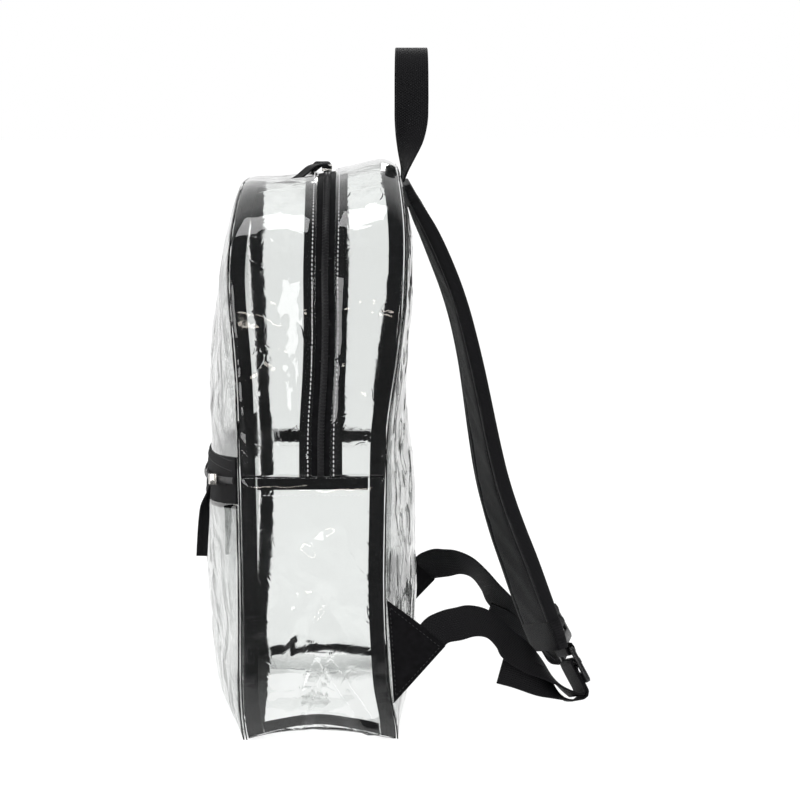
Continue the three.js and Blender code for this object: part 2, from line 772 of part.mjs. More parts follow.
// Shoulder straps. down and out are shares of strapDrop and strapReach, side of the spread from the
// top to the foot, twist is in degrees, and wide and thick are shares of strapWidth and strapPad.
const strapRows = [
  { down: 0, out: 0, side: 0, twist: 0, wide: 0.82, thick: 0.4 },
  { down: 0.042, out: 0.054, side: 0.03, twist: 3, wide: 0.9, thick: 0.7 },
  { down: 0.085, out: 0.125, side: 0.07, twist: 4, wide: 0.97, thick: 1 },
  { down: 0.133, out: 0.196, side: 0.11, twist: 5.6, wide: 1, thick: 1 },
  { down: 0.2455, out: 0.332, side: 0.21, twist: 6, wide: 1, thick: 1 },
  { down: 0.38, out: 0.438, side: 0.34, twist: 7, wide: 1, thick: 1 },
  { down: 0.514, out: 0.515, side: 0.48, twist: 10, wide: 1, thick: 1 },
  { down: 0.624, out: 0.581, side: 0.6, twist: 13, wide: 1, thick: 1 },
  { down: 0.715, out: 0.659, side: 0.7, twist: 17, wide: 1, thick: 1 },
  { down: 0.8045, out: 0.761, side: 0.8, twist: 19, wide: 1, thick: 1 },
  { down: 0.907, out: 0.876, side: 0.91, twist: 20, wide: 1, thick: 0.95 },
  { down: 0.97, out: 0.951, side: 0.97, twist: 20, wide: 0.97, thick: 0.85 },
  { down: 1, out: 0.985, side: 1, twist: 20, wide: 0.9, thick: 0.7 },
];
const strapColumns = [
  { across: -1, thick: 0 },
  { across: -0.9, thick: 0.8 },
  { across: -0.5, thick: 1 },
  { across: 0, thick: 0.96 },
  { across: 0.5, thick: 1 },
  { across: 0.9, thick: 0.8 },
  { across: 1, thick: 0 },
];
// Half the pad's thickness at its top with the wall of the loop it is sewn in, as a share of strapPad.
const topHalfThick = 0.45;
const strapSpread = (strapFootSpacing - strapTopSpacing) / 2;

// The straps, tabs and webbing of one side are worked out as if they were on the right, set against
// that side's own back panel, and mirrored at the end.
for (const { name, side } of sides) {
  const strapStart = new THREE.Vector3(
    strapTopSpacing / 2,
    faceY('back', (side * strapTopSpacing) / 2, strapTop) + clearance + strapPad * topHalfThick,
    strapTop,
  );

  function strapPoint(row) {
    return new THREE.Vector3(
      strapStart.x + row.side * strapSpread,
      strapStart.y + row.out * strapReach,
      strapStart.z - row.down * strapDrop,
    );
  }

  // The strap's frame at a share of its drop: its middle, the way across it and the way out of it.
  function strapFrame(share) {
    const read = (column, place) => readRows(strapRows, column, place, 'down');
    const row = (place) => strapPoint({ down: place, out: read('out', place), side: read('side', place) });
    const step = 0.01;
    const run = row(Math.min(1, share + step)).sub(row(Math.max(0, share - step))).normalize();
    const flat = new THREE.Vector3(1, 0, 0).addScaledVector(run, -run.x).normalize();
    const up = flat.clone().cross(run);
    const twist = THREE.MathUtils.degToRad(read('twist', share));
    const across = flat.clone().multiplyScalar(Math.cos(twist)).addScaledVector(up, Math.sin(twist));
    const out = up.clone().multiplyScalar(Math.cos(twist)).addScaledVector(flat, -Math.sin(twist));
    const half = (Math.max(strapEdge, read('thick', share) * strapPad)) / 2;
    return { middle: row(share), run, across, out, half, wide: (read('wide', share) * strapWidth) / 2 };
  }

  const strapShares = [0, 0.03, 0.06, 0.1, 0.15, ...steps(0.21, 0.93, 12), 0.97, 1];
  const strapSections = strapShares.map((share) => {
    const { middle, across, out, half, wide } = strapFrame(share);
    const corner = (column, sign) => {
      const thick = THREE.MathUtils.lerp(strapEdge / 2, half, column.thick);
      return middle.clone().addScaledVector(across, column.across * wide).addScaledVector(out, sign * thick);
    };
    const face = (sign) => strapColumns.map((column) => corner(column, sign));
    return [...face(1), ...face(-1).reverse()];
  });

  // The ladder lock's frame: its middle, the way down along it, across it and out of it.
  const lockLength = 2 * lockBar + lockUpperSlot + lockLowerSlot + lockLip;
  const strapEnd = strapFrame(1);
  const lockRun = new THREE.Vector3(0, Math.sin(THREE.MathUtils.degToRad(lockLean)), 0);
  lockRun.z = -Math.cos(THREE.MathUtils.degToRad(lockLean));
  lockRun.x = Math.sin(THREE.MathUtils.degToRad(lockSplay));
  lockRun.normalize();
  const lockAcross = new THREE.Vector3(1, 0, 0).addScaledVector(lockRun, -lockRun.x).normalize();
  lockAcross.applyAxisAngle(lockRun, -THREE.MathUtils.degToRad(lockTwist));
  const lockOut = lockAcross.clone().cross(lockRun);
  const lockMiddle = strapEnd.middle
    .clone()
    .addScaledVector(lockRun, lockDrop)
    .addScaledVector(lockOut, lockStandOff);

  // A point in the lock's frame; the sizes here are millimetres from its middle bar.
  const barAt = -lockLength / 2 + lockBar + lockUpperSlot + lockBar / 2;
  function atLock(across, along, out) {
    return lockMiddle
      .clone()
      .addScaledVector(lockAcross, across)
      .addScaledVector(lockRun, barAt + along)
      .addScaledVector(lockOut, out);
  }

  function lockShape() {
    const half = lockWidth / 2;
    const slot = webbingWidth / 2 + 2 * clearance;
    const shape = new THREE.Shape();
    const round = lockBar / 2;
    shape.moveTo(-half + round, -lockLength / 2);
    shape.lineTo(half - round, -lockLength / 2);
    shape.lineTo(half, -lockLength / 2 + round);
    shape.lineTo(half, lockLength / 2 - round);
    shape.lineTo(half - round, lockLength / 2);
    shape.lineTo(-half + round, lockLength / 2);
    shape.lineTo(-half, lockLength / 2 - round);
    shape.lineTo(-half, -lockLength / 2 + round);
    const firstSlot = -lockLength / 2 + lockBar;
    const secondSlot = firstSlot + lockUpperSlot + lockBar;
    for (const [start, height] of [[firstSlot, lockUpperSlot], [secondSlot, lockLowerSlot]]) {
      const hole = new THREE.Path();
      hole.moveTo(-slot, start);
      hole.lineTo(-slot, start + height);
      hole.lineTo(slot, start + height);
      hole.lineTo(slot, start);
      shape.holes.push(hole);
    }
    return shape;
  }

  // The webbing's route. First from the tab to the lock: along is a share of the straight run, rise and
  // drift shares of its length, and turn the angle of its width from the lock's width to upright.
  const tabLead = 4;
  const webbingRun = [
    { along: 0.065, rise: 0.049, drift: 0.012, turn: 88 },
    { along: 0.149, rise: 0.094, drift: 0.024, turn: 75 },
    { along: 0.246, rise: 0.146, drift: 0.03, turn: 62 },
    { along: 0.35, rise: 0.168, drift: 0.024, turn: 60 },
    { along: 0.438, rise: 0.144, drift: 0, turn: 70 },
    { along: 0.508, rise: 0.103, drift: -0.035, turn: 80 },
    { along: 0.644, rise: 0.073, drift: -0.054, turn: 70 },
    { along: 0.78, rise: 0.05, drift: -0.06, turn: 42 },
    { along: 0.9, rise: 0.01, drift: -0.045, turn: 14 },
  ];
  // Then through the lock, in its frame: from is an edge along the lock and layer how deep under the
  // lock the webbing lies there, with along and under as shares of the webbing's room added to them.
  const room = webbingWall / 2 + clearance;
  const face = lockWall / 2 + room;
  const inner = face + webbingWall + clearance;
  const barSide = lockBar / 2 + room;
  const lipEnd = lockLength / 2 - barAt;
  const throughLock = [
    { from: lipEnd, along: 5, layer: inner, under: 5.7 },
    { from: lipEnd, along: 6.3, layer: inner, under: 3.2 },
    { from: lipEnd, along: 5.1, layer: inner, under: 1 },
    { from: lipEnd, along: 1.9, layer: inner, under: 0 },
    { from: lipEnd, along: -3.8, layer: inner, under: 0 },
    { from: barSide, along: 0, layer: inner, under: 0 },
    { from: -barSide, along: 0.95, layer: inner, under: -0.4 },
    { from: -barSide, along: 0, layer: face, under: -0.5 },
    { from: -barSide, along: 0, layer: 0, under: 0 },
    { from: -barSide, along: 0.3, layer: -face, under: 0.5 },
    { from: -barSide, along: 1.5, layer: -face, under: 0 },
    { from: barSide, along: -1.5, layer: -face, under: 0 },
    { from: barSide, along: -0.3, layer: -face, under: 0.5 },
    { from: barSide, along: 0, layer: 0, under: 0 },
    { from: barSide, along: 0.4, layer: face, under: -1 },
    { from: barSide, along: 2.3, layer: face, under: 0 },
    { from: lipEnd, along: -3.8, layer: face, under: 0 },
    { from: lipEnd, along: 1.9, layer: face, under: 0 },
    { from: lipEnd, along: 6.1, layer: face, under: 0.4 },
    { from: lipEnd, along: 8.6, layer: face, under: 2.5 },
    { from: lipEnd, along: 9.1, layer: face, under: 5.7 },
    { from: lipEnd, along: 8, layer: face, under: 9.1 },
  ].map(({ from, along, layer, under }) => atLock(0, from + along * room, -layer - under * room));
  // Last the free tail, from the lock's lower edge, as shares of the webbing's width.
  const tailRows = [
    { across: 0, along: 0.18, out: -0.72, turn: 8 },
    { across: 0.02, along: -0.3, out: -0.96, turn: 40 },
    { across: 0.28, along: -0.76, out: -1.3, turn: 72 },
    { across: 0.5, along: -1.32, out: -1.84, turn: 86 },
    { across: 0.64, along: -1.72, out: -2.3, turn: 88 },
  ];
  const upright = new THREE.Vector3(0, 0, -1);
  function turned(angle) {
    const turn = THREE.MathUtils.degToRad(angle);
    return lockAcross.clone().multiplyScalar(Math.cos(turn)).addScaledVector(upright, Math.sin(turn));
  }

  const tabBase = (z) => seamY('back', side * halfWidth, z) + sheetWall + clearance;
  const tabX = halfWidth - tabWall;
  const tabTurn = THREE.MathUtils.degToRad(tabTilt);
  const tipLow = new THREE.Vector3(tabX, tabBase(tabTip) + tabReach, tabTip);
  const tipHigh = tipLow
    .clone()
    .add(new THREE.Vector3(0, -webbingWidth * Math.cos(tabTurn), webbingWidth * Math.sin(tabTurn)));
  const tipOut = new THREE.Vector3(0, Math.sin(tabTurn), Math.cos(tabTurn));
  const runStart = tipLow.clone().add(tipHigh).multiplyScalar(0.5).addScaledVector(tipOut, clearance);
  const runEnd = throughLock[0];
  const runLength = runStart.distanceTo(runEnd);
  const tipEdge = tipLow.clone().sub(tipHigh);
  const leadPoint = runStart.clone().addScaledVector(tipOut, tabLead);
  const webbingRows = [
    { point: runStart, across: tipEdge },
    { point: leadPoint, across: tipEdge },
    ...webbingRun.map(({ along, rise, drift, turn }) => {
      const point = leadPoint.clone().lerp(runEnd, along);
      point.z += rise * runLength;
      point.x += drift * runLength;
      return { point, across: turned(turn) };
    }),
    ...throughLock.map((point) => ({ point, across: lockAcross })),
    ...tailRows.map(({ across, along, out, turn }) => ({
      point: atLock(across * webbingWidth, lipEnd + along * webbingWidth, out * webbingWidth),
      across: turned(turn),
    })),
  ];

  // The loop that holds the lock: sewn down on the pad, round the lock's top bar and back. At the
  // bar's corners it turns on a diagonal, cornerTurn of its room each way.
  const topBar = -lockUpperSlot - lockBar;
  const topBarEdge = topBar + lockBar / 2;
  const gripShare = loopGripLength / strapDrop;
  const cornerTurn = 0.76;
  const loopCorner = (sign) =>
    atLock(0, topBarEdge + room * cornerTurn, sign * (lockWall / 2 + room * cornerTurn));
  const loopRows = [
    ...[1, 0.5, 0.1].map((share) => {
      const { middle, out, half } = strapFrame(1 - share * gripShare);
      return middle.clone().addScaledVector(out, half + room);
    }),
    atLock(0, topBar - lockBar, face),
    atLock(0, topBarEdge, face),
    loopCorner(1),
    atLock(0, topBar + barSide, lockWall / 2),
    atLock(0, topBar + barSide, -lockWall / 2),
    loopCorner(-1),
    atLock(0, topBarEdge, -face),
    atLock(0, topBar - lockBar, -face),
  ].map((point) => ({ point, across: lockAcross }));

  const reflect = (sections) => sections.map((section) => section.map((point) => mirrored(side, point)));
  loft(`shoulder_strap_${name}`, reflect(strapSections), blackNylon);

  for (const [part, rows] of [['webbing', webbingRows], ['lock_loop', loopRows]]) {
    const sections = ribbonSections(rows, webbingWidth, webbingWall);
    loft(`${part}_${name}`, reflect(sections), blackWebbing);
  }

  const tab = new THREE.Shape();
  tab.moveTo(tabBase(tabFoot), tabFoot);
  tab.lineTo(tipLow.y, tipLow.z);
  tab.lineTo(tipHigh.y, tipHigh.z);
  tab.lineTo(tabBase(tabFoot + tabHeight), tabFoot + tabHeight);
  const tabPlan = { depth: tabWall, bevelEnabled: false };
  const tabMesh = new THREE.Mesh(new THREE.ExtrudeGeometry(tab, tabPlan));
  tabMesh.material = new THREE.MeshStandardMaterial(blackNylon);
  tabMesh.name = `side_tab_${name}`;
  tabMesh.rotation.set(Math.PI / 2, Math.PI / 2, 0);
  tabMesh.position.x = side * tabX - tabWall / 2;
  bag.add(tabMesh);

  const plan = { depth: lockWall, bevelEnabled: false };
  const lockGeometry = new THREE.ExtrudeGeometry(lockShape(), plan);
  lockGeometry.translate(0, 0, -lockWall / 2);
  const lock = new THREE.Mesh(lockGeometry, new THREE.MeshStandardMaterial(blackPlastic));
  const along = mirrored(side, lockRun);
  const out = mirrored(side, lockOut);
  lock.name = `ladder_lock_${name}`;
  lock.position.copy(mirrored(side, lockMiddle));
  lock.quaternion.setFromRotationMatrix(new THREE.Matrix4().makeBasis(along.clone().cross(out), along, out));
  bag.add(lock);
}

export default bag;
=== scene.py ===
import math
from itertools import permutations

import bmesh
import bpy
from mathutils import Matrix, Vector, noise
from mathutils.bvhtree import BVHTree
from mathutils.kdtree import KDTree


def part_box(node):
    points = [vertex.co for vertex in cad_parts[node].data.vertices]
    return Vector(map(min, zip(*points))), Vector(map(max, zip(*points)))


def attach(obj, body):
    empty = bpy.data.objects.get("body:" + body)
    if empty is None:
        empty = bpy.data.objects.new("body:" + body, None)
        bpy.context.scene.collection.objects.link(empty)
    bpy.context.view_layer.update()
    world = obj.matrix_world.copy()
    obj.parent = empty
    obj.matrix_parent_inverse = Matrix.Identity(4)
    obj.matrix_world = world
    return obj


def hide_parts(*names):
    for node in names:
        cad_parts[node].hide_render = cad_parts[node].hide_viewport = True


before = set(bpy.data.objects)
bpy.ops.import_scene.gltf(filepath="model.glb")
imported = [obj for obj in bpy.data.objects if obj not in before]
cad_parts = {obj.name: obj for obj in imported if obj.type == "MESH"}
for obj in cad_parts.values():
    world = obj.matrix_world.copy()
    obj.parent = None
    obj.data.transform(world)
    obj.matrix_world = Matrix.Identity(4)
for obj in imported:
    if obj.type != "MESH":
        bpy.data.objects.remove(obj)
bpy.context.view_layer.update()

# Studio
# A product table with an evenly lit pale floor and pale air. Soft lights stand at both sides, above,
# behind and in front, one of them a small warm window. Gloss sees the front of the room dark.

camera_data = bpy.data.cameras.new("camera")
camera_data.lens = 133.4
camera_data.sensor_width = 36
camera_data.clip_end = 60
camera = bpy.data.objects.new("camera", camera_data)
camera.location = (2.335, 0.0044, 0.486)
camera.rotation_euler = Vector((-1, 0.0263, -0.1056)).to_track_quat("-Z", "Y").to_euler()
bpy.context.collection.objects.link(camera)
bpy.context.scene.camera = camera
bpy.context.scene.view_settings.view_transform = "Standard"
bpy.context.scene.cycles.max_bounces = 24
bpy.context.scene.cycles.transmission_bounces = 24
bpy.context.scene.cycles.transparent_max_bounces = 24

air = bpy.data.worlds.new("air")
air.use_nodes = True
bpy.context.scene.world = air
nodes, links = air.node_tree.nodes, air.node_tree.links
nodes.clear()
world_out = nodes.new("ShaderNodeOutputWorld")
pale = nodes.new("ShaderNodeBackground")
pale.inputs["Color"].default_value = (1, 1, 1, 1)
pale.inputs["Strength"].default_value = 1.0
# What the gloss sees: pale air behind the bag, a dark room in front of it.
studio = nodes.new("ShaderNodeBackground")
studio.inputs["Strength"].default_value = 1.0
around = nodes.new("ShaderNodeTexCoord")
apart = nodes.new("ShaderNodeSeparateXYZ")
walls = nodes.new("ShaderNodeValToRGB")
walls.color_ramp.elements[0].position = 0.42
walls.color_ramp.elements[0].color = (0.95, 0.95, 0.95, 1)
walls.color_ramp.elements[1].position = 0.68
walls.color_ramp.elements[1].color = (0.085, 0.087, 0.09, 1)
depth = nodes.new("ShaderNodeMapRange")
depth.inputs["From Min"].default_value = -1
depth.inputs["From Max"].default_value = 1
links.new(around.outputs["Generated"], apart.inputs[0])
links.new(apart.outputs["X"], depth.inputs["Value"])
links.new(depth.outputs["Result"], walls.inputs["Fac"])
links.new(walls.outputs["Color"], studio.inputs["Color"])
path = nodes.new("ShaderNodeLightPath")
choose = nodes.new("ShaderNodeMixShader")
mirrored = nodes.new("ShaderNodeMath")
mirrored.operation = "GREATER_THAN"
mirrored.inputs[1].default_value = 0.5
links.new(path.outputs["Glossy Depth"], mirrored.inputs[0])
links.new(mirrored.outputs[0], choose.inputs[0])
links.new(pale.outputs[0], choose.inputs[1])
links.new(studio.outputs[0], choose.inputs[2])
links.new(choose.outputs[0], world_out.inputs["Surface"])


def soft_light(name, place, target, width, height, power):
    """A flat soft light turned to a target. It shows in gloss and lights the bag, but isn't seen."""
    data = bpy.data.lights.new(name, "AREA")
    data.shape = "RECTANGLE"
    data.size = width
    data.size_y = height
    data.energy = power
    light = bpy.data.objects.new(name, data)
    light.location = place
    light.rotation_euler = (Vector(target) - Vector(place)).to_track_quat("-Z", "Y").to_euler()
    light.visible_camera = False
    light.visible_transmission = False
    bpy.context.collection.objects.link(light)
    return light


soft_light(
    "light_front_side", place=(1.3, -1.5, 0.7), target=(0, 0, 0.25), width=0.4, height=1.3, power=11
)
soft_light(
    "light_back_side", place=(0.8, 1.8, 0.8), target=(0, 0, 0.25), width=0.3, height=1.3, power=8
)
soft_light(
    "light_over", place=(0.5, -0.2, 1.7), target=(0, 0, 0.2), width=0.5, height=0.5, power=5
)
soft_light(
    "light_far", place=(-1.6, 0.3, 1.2), target=(0, 0, 0.25), width=0.5, height=0.9, power=5
)
soft_light(
    "light_tall_front", place=(2.25, -0.78, 0.5), target=(0, 0, 0.3), width=0.8, height=1.2, power=15
)
soft_light(
    "light_tall_back", place=(2.3, 0.9, 0.5), target=(0, 0, 0.3), width=0.22, height=1.2, power=5
)
window = soft_light(
    "light_window", place=(3.0, 0.02, 0.25), target=(0, 0, 0.36), width=0.42, height=0.055, power=0.75
)
window.data.color = (1, 0.93, 0.84)


def plain_material(name):
    """A new material, with its nodes, its links and its shader."""
    material = bpy.data.materials.new(name)
    material.use_nodes = True
    shader = material.node_tree.nodes["Principled BSDF"]
    return material, material.node_tree.nodes, material.node_tree.links, shader


floor_half = 25
floor_gap = 0.0006
floor_mesh = bpy.data.meshes.new("floor")
mesh = bmesh.new()
bmesh.ops.create_grid(mesh, x_segments=1, y_segments=1, size=floor_half)
bmesh.ops.translate(mesh, verts=mesh.verts, vec=(0, 0, -floor_gap))
mesh.to_mesh(floor_mesh)
mesh.free()
floor = bpy.data.objects.new("floor", floor_mesh)
bpy.context.collection.objects.link(floor)
floor_material, nodes, links, shader = plain_material("pale_floor")
shader.inputs["Base Color"].default_value = (0.2, 0.2, 0.2, 1)
shader.inputs["Roughness"].default_value = 0.9
shader.inputs["Specular IOR Level"].default_value = 0.1
shader.inputs["Emission Color"].default_value = (1, 1, 1, 1)
shader.inputs["Emission Strength"].default_value = 0.85
# Seen in the sheets' gloss, the floor falls off into the dark room in front of the table.
spot = nodes.new("ShaderNodeTexCoord")
apart = nodes.new("ShaderNodeSeparateXYZ")
nearer = nodes.new("ShaderNodeMapRange")
nearer.inputs["From Min"].default_value = 0.12
nearer.inputs["From Max"].default_value = 0.5
ray = nodes.new("ShaderNodeLightPath")
mirrored = nodes.new("ShaderNodeMath")
mirrored.operation = "GREATER_THAN"
mirrored.inputs[1].default_value = 0.5
both = nodes.new("ShaderNodeMath")
both.operation = "MULTIPLY"
links.new(spot.outputs["Object"], apart.inputs[0])
links.new(apart.outputs["X"], nearer.inputs["Value"])
links.new(ray.outputs["Glossy Depth"], mirrored.inputs[0])
links.new(mirrored.outputs[0], both.inputs[0])
links.new(nearer.outputs["Result"], both.inputs[1])
for socket, dark in (("Base Color", 0.06), ("Emission Color", 0.02)):
    shade_off = nodes.new("ShaderNodeMix")
    shade_off.data_type = "RGBA"
    shade_off.inputs[6].default_value = shader.inputs[socket].default_value
    shade_off.inputs[7].default_value = (dark, dark, dark, 1)
    links.new(both.outputs[0], shade_off.inputs[0])
    links.new(shade_off.outputs[2], shader.inputs[socket])
floor_mesh.materials.append(floor_material)

# Clear sheets
# The bag's own skin: soft PVC sheet, about half a millimetre thick, cut to shape and sewn inside
# out, so that it comes out full of shallow wrinkles and sharp creases near the seams.

sheet_names = {
    "front_panel": 3,
    "back_panel": 3,
    "pocket_panel": 3,
    "bottom_panel": 3,
    "side_panel_right": 3,
    "side_panel_left": 3,
    "gusset_front": 3,
    "gusset_back": 3,
}
core_low = Vector((-0.0625, -0.02, 0.06))
core_high = Vector((0.0625, 0.02, 0.324))


def outward(place):
    """The way out of the bag at a place, from the nearest point of the box along its middle."""
    core = Vector(max(core_low[i], min(core_high[i], place[i])) for i in range(3))
    return (place - core).normalized()


def copied(node, name, levels, fold=0.9):
    """A smooth copy of a CAD node, with its hard edges kept."""
    mesh = bmesh.new()
    mesh.from_mesh(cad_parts[node].data)
    bmesh.ops.remove_doubles(mesh, verts=mesh.verts, dist=2e-5)
    bmesh.ops.join_triangles(
        mesh, faces=mesh.faces, angle_face_threshold=0.7, angle_shape_threshold=3.1
    )
    crease = mesh.edges.layers.float.new("crease_edge")
    for edge in mesh.edges:
        if edge.calc_face_angle(0) > fold:
            edge[crease] = 1
    data = bpy.data.meshes.new(name)
    mesh.to_mesh(data)
    mesh.free()
    piece = bpy.data.objects.new(name, data)
    bpy.context.collection.objects.link(piece)
    if levels:
        smooth = piece.modifiers.new("smooth", "SUBSURF")
        smooth.levels = smooth.render_levels = levels
        settle(piece)
    return piece


def settle(piece):
    """Applies a piece's modifiers to its mesh."""
    seen = piece.evaluated_get(bpy.context.evaluated_depsgraph_get())
    data = bpy.data.meshes.new_from_object(seen)
    piece.modifiers.clear()
    piece.data = data


def shade(piece, angle=0.9):
    """Shades a piece smooth, apart from edges that are sharper than an angle."""
    piece.data.polygons.foreach_set("use_smooth", [True] * len(piece.data.polygons))
    piece.data.set_sharp_from_angle(angle=angle)


def dress(piece, material, angle=0.9):
    """Shades a piece smooth and gives it its one material."""
    shade(piece, angle)
    piece.data.materials.clear()
    piece.data.materials.append(material)


def stands_for(piece, *node_names, slot):
    """Hangs a piece on the root body and hides the solids it stands for. Its slot is not used."""
    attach(piece, "root")
    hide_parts(*node_names)


def rim_distance(mesh, fold=0.9):
    """How far each point of a sheet is from the sheet's cut edges."""
    rim = [v.co for e in mesh.edges if e.calc_face_angle(0) > fold for v in e.verts]
    tree = KDTree(len(rim))
    for i, place in enumerate(rim):
        tree.insert(place, i)
    tree.balance()
    return [tree.find(v.co)[2] for v in mesh.verts]


band_low, band_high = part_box("pocket_band")


def band_hold(name, height):
    """How freely a sheet may swell: the pocket band holds flat what it is sewn over."""
    if name == "clear_front_panel":
        return (height - band_high[2] - 0.004) / 0.025
    if name == "clear_pocket_panel":
        return (band_low[2] - 0.004 - height) / 0.025
    return 1


def wrinkle(piece, hem, reach, puff, soft, sharp, seed):
    """Swells a sheet out from its sewn hem, and adds soft waves and sharp creases away from it."""
    mesh = bmesh.new()
    mesh.from_mesh(piece.data)
    inner = [v for v, distance in zip(mesh.verts, rim_distance(mesh)) if distance > 0.0025]
    for _ in range(5):
        bmesh.ops.smooth_vert(
            mesh, verts=inner, factor=0.5, use_axis_x=True, use_axis_y=True, use_axis_z=True
        )
    shift = Vector((seed * 1.7, seed * 0.9, seed * 2.3))
    for v, distance in zip(mesh.verts, rim_distance(mesh)):
        share = min(1, max(0, (distance - hem) / reach))
        share = share * share * (3 - 2 * share)
        held = max(0, min(1, band_hold(piece.name, v.co.z)))
        place = v.co + shift
        wave = noise.noise(place * 22) + 0.5 * noise.noise(place * 51)
        ridge = 1 - abs(noise.noise(place * 30 + 0.06 * noise.noise_vector(place * 60)))
        rise = puff * (1 - math.exp(-distance / 0.005)) * (0.8 + 0.4 * noise.noise(place * 18))
        fold = soft * wave - sharp * max(0, ridge - 0.8) * 5
        v.co += outward(v.co) * held * (rise + share * fold)
    mesh.to_mesh(piece.data)
    mesh.free()


def wave_bump():
    """The sheet's finer creases, as a height."""
    group = bpy.data.node_groups.new("sheet_creases", "ShaderNodeTree")
    group.interface.new_socket("Size", in_out="INPUT", socket_type="NodeSocketFloat")
    group.interface.new_socket("Height", in_out="OUTPUT", socket_type="NodeSocketFloat")
    nodes, links = group.nodes, group.links
    given = nodes.new("NodeGroupInput")
    out = nodes.new("NodeGroupOutput")
    place = nodes.new("ShaderNodeTexCoord")
    waves = nodes.new("ShaderNodeTexNoise")
    waves.inputs["Detail"].default_value = 2
    waves.inputs["Roughness"].default_value = 0.4
    waves.inputs["Distortion"].default_value = 0.8
    fold = nodes.new("ShaderNodeMath")
    fold.operation = "SUBTRACT"
    fold.inputs[1].default_value = 0.5
    size = nodes.new("ShaderNodeMath")
    size.operation = "ABSOLUTE"
    links.new(place.outputs["Object"], waves.inputs["Vector"])
    links.new(given.outputs["Size"], waves.inputs["Scale"])
    links.new(waves.outputs["Fac"], fold.inputs[0])
    links.new(fold.outputs[0], size.inputs[0])
    links.new(size.outputs[0], out.inputs["Height"])
    return group


def surface_marks():
    """Dust and handling marks: soft patches and sparse fine scratches, as one mask."""
    group = bpy.data.node_groups.new("surface_marks", "ShaderNodeTree")
    for socket in ("Patches", "Scratches"):
        group.interface.new_socket(socket, in_out="INPUT", socket_type="NodeSocketFloat")
    group.interface.new_socket("Mask", in_out="OUTPUT", socket_type="NodeSocketFloat")
    nodes, links = group.nodes, group.links
    given = nodes.new("NodeGroupInput")
    out = nodes.new("NodeGroupOutput")
    place = nodes.new("ShaderNodeTexCoord")
    patches = nodes.new("ShaderNodeTexNoise")
    patches.inputs["Detail"].default_value = 4
    scratches = nodes.new("ShaderNodeTexVoronoi")
    scratches.feature = "DISTANCE_TO_EDGE"
    thin = nodes.new("ShaderNodeMapRange")
    thin.inputs["From Min"].default_value = 0.0
    thin.inputs["From Max"].default_value = 0.02
    thin.inputs["To Min"].default_value = 0.5
    thin.inputs["To Max"].default_value = 0.0
    total = nodes.new("ShaderNodeMath")
    total.operation = "MULTIPLY_ADD"
    total.use_clamp = True
    links.new(place.outputs["Object"], patches.inputs["Vector"])
    links.new(place.outputs["Object"], scratches.inputs["Vector"])
    links.new(given.outputs["Patches"], patches.inputs["Scale"])
    links.new(given.outputs["Scratches"], scratches.inputs["Scale"])
    links.new(scratches.outputs["Distance"], thin.inputs["Value"])
    links.new(thin.outputs["Result"], total.inputs[0])
    links.new(patches.outputs["Fac"], total.inputs[1])
    links.new(patches.outputs["Fac"], total.inputs[2])
    links.new(total.outputs[0], out.inputs["Mask"])
    return group


marks = surface_marks()


def marked_roughness(nodes, links, shader, patches, scratches, low, high):
    """Lets a finish go from its cleanest to its most handled roughness, by its marks."""
    handled = nodes.new("ShaderNodeGroup")
    handled.node_tree = marks
    handled.inputs["Patches"].default_value = patches
    handled.inputs["Scratches"].default_value = scratches
    spread = nodes.new("ShaderNodeMapRange")
    spread.inputs["From Min"].default_value = 0.3
    spread.inputs["From Max"].default_value = 0.85
    spread.inputs["To Min"].default_value = low
    spread.inputs["To Max"].default_value = high
    links.new(handled.outputs["Mask"], spread.inputs["Value"])
    links.new(spread.outputs["Result"], shader.inputs["Roughness"])
    return handled


creases = wave_bump()
clear_sheet, nodes, links, shader = plain_material("clear_sheet")
shader.inputs["Base Color"].default_value = (0.905, 0.918, 0.91, 1)
marked_roughness(nodes, links, shader, patches=24, scratches=60, low=0.012, high=0.07)
shader.inputs["Transmission Weight"].default_value = 1
shader.inputs["IOR"].default_value = 1.53
broad = nodes.new("ShaderNodeGroup")
broad.node_tree = creases
broad.inputs["Size"].default_value = 16
fine = nodes.new("ShaderNodeGroup")
fine.node_tree = creases
fine.inputs["Size"].default_value = 55
bump_broad = nodes.new("ShaderNodeBump")
bump_broad.inputs["Distance"].default_value = 0.006
bump_broad.inputs["Strength"].default_value = 0.3
bump_fine = nodes.new("ShaderNodeBump")
bump_fine.inputs["Distance"].default_value = 0.0008
bump_fine.inputs["Strength"].default_value = 0.25
links.new(broad.outputs["Height"], bump_broad.inputs["Height"])
links.new(fine.outputs["Height"], bump_fine.inputs["Height"])
links.new(bump_broad.outputs["Normal"], bump_fine.inputs["Normal"])
links.new(bump_fine.outputs["Normal"], shader.inputs["Normal"])
see_through = nodes.new("ShaderNodeBsdfTransparent")
see_through.inputs["Color"].default_value = (0.93, 0.95, 0.94, 1)
ray = nodes.new("ShaderNodeLightPath")
mix = nodes.new("ShaderNodeMixShader")
links.new(ray.outputs["Is Shadow Ray"], mix.inputs[0])
links.new(shader.outputs[0], mix.inputs[1])
links.new(see_through.outputs[0], mix.inputs[2])
links.new(mix.outputs[0], nodes["Material Output"].inputs["Surface"])

# The side panels stand over the arched foot seam in a small gable of two creases.
gable_top = Vector((0, 0.0044, 0.0536))
gable_feet = (Vector((0, -0.017, 0.004)), Vector((0, 0.038, 0.004)))


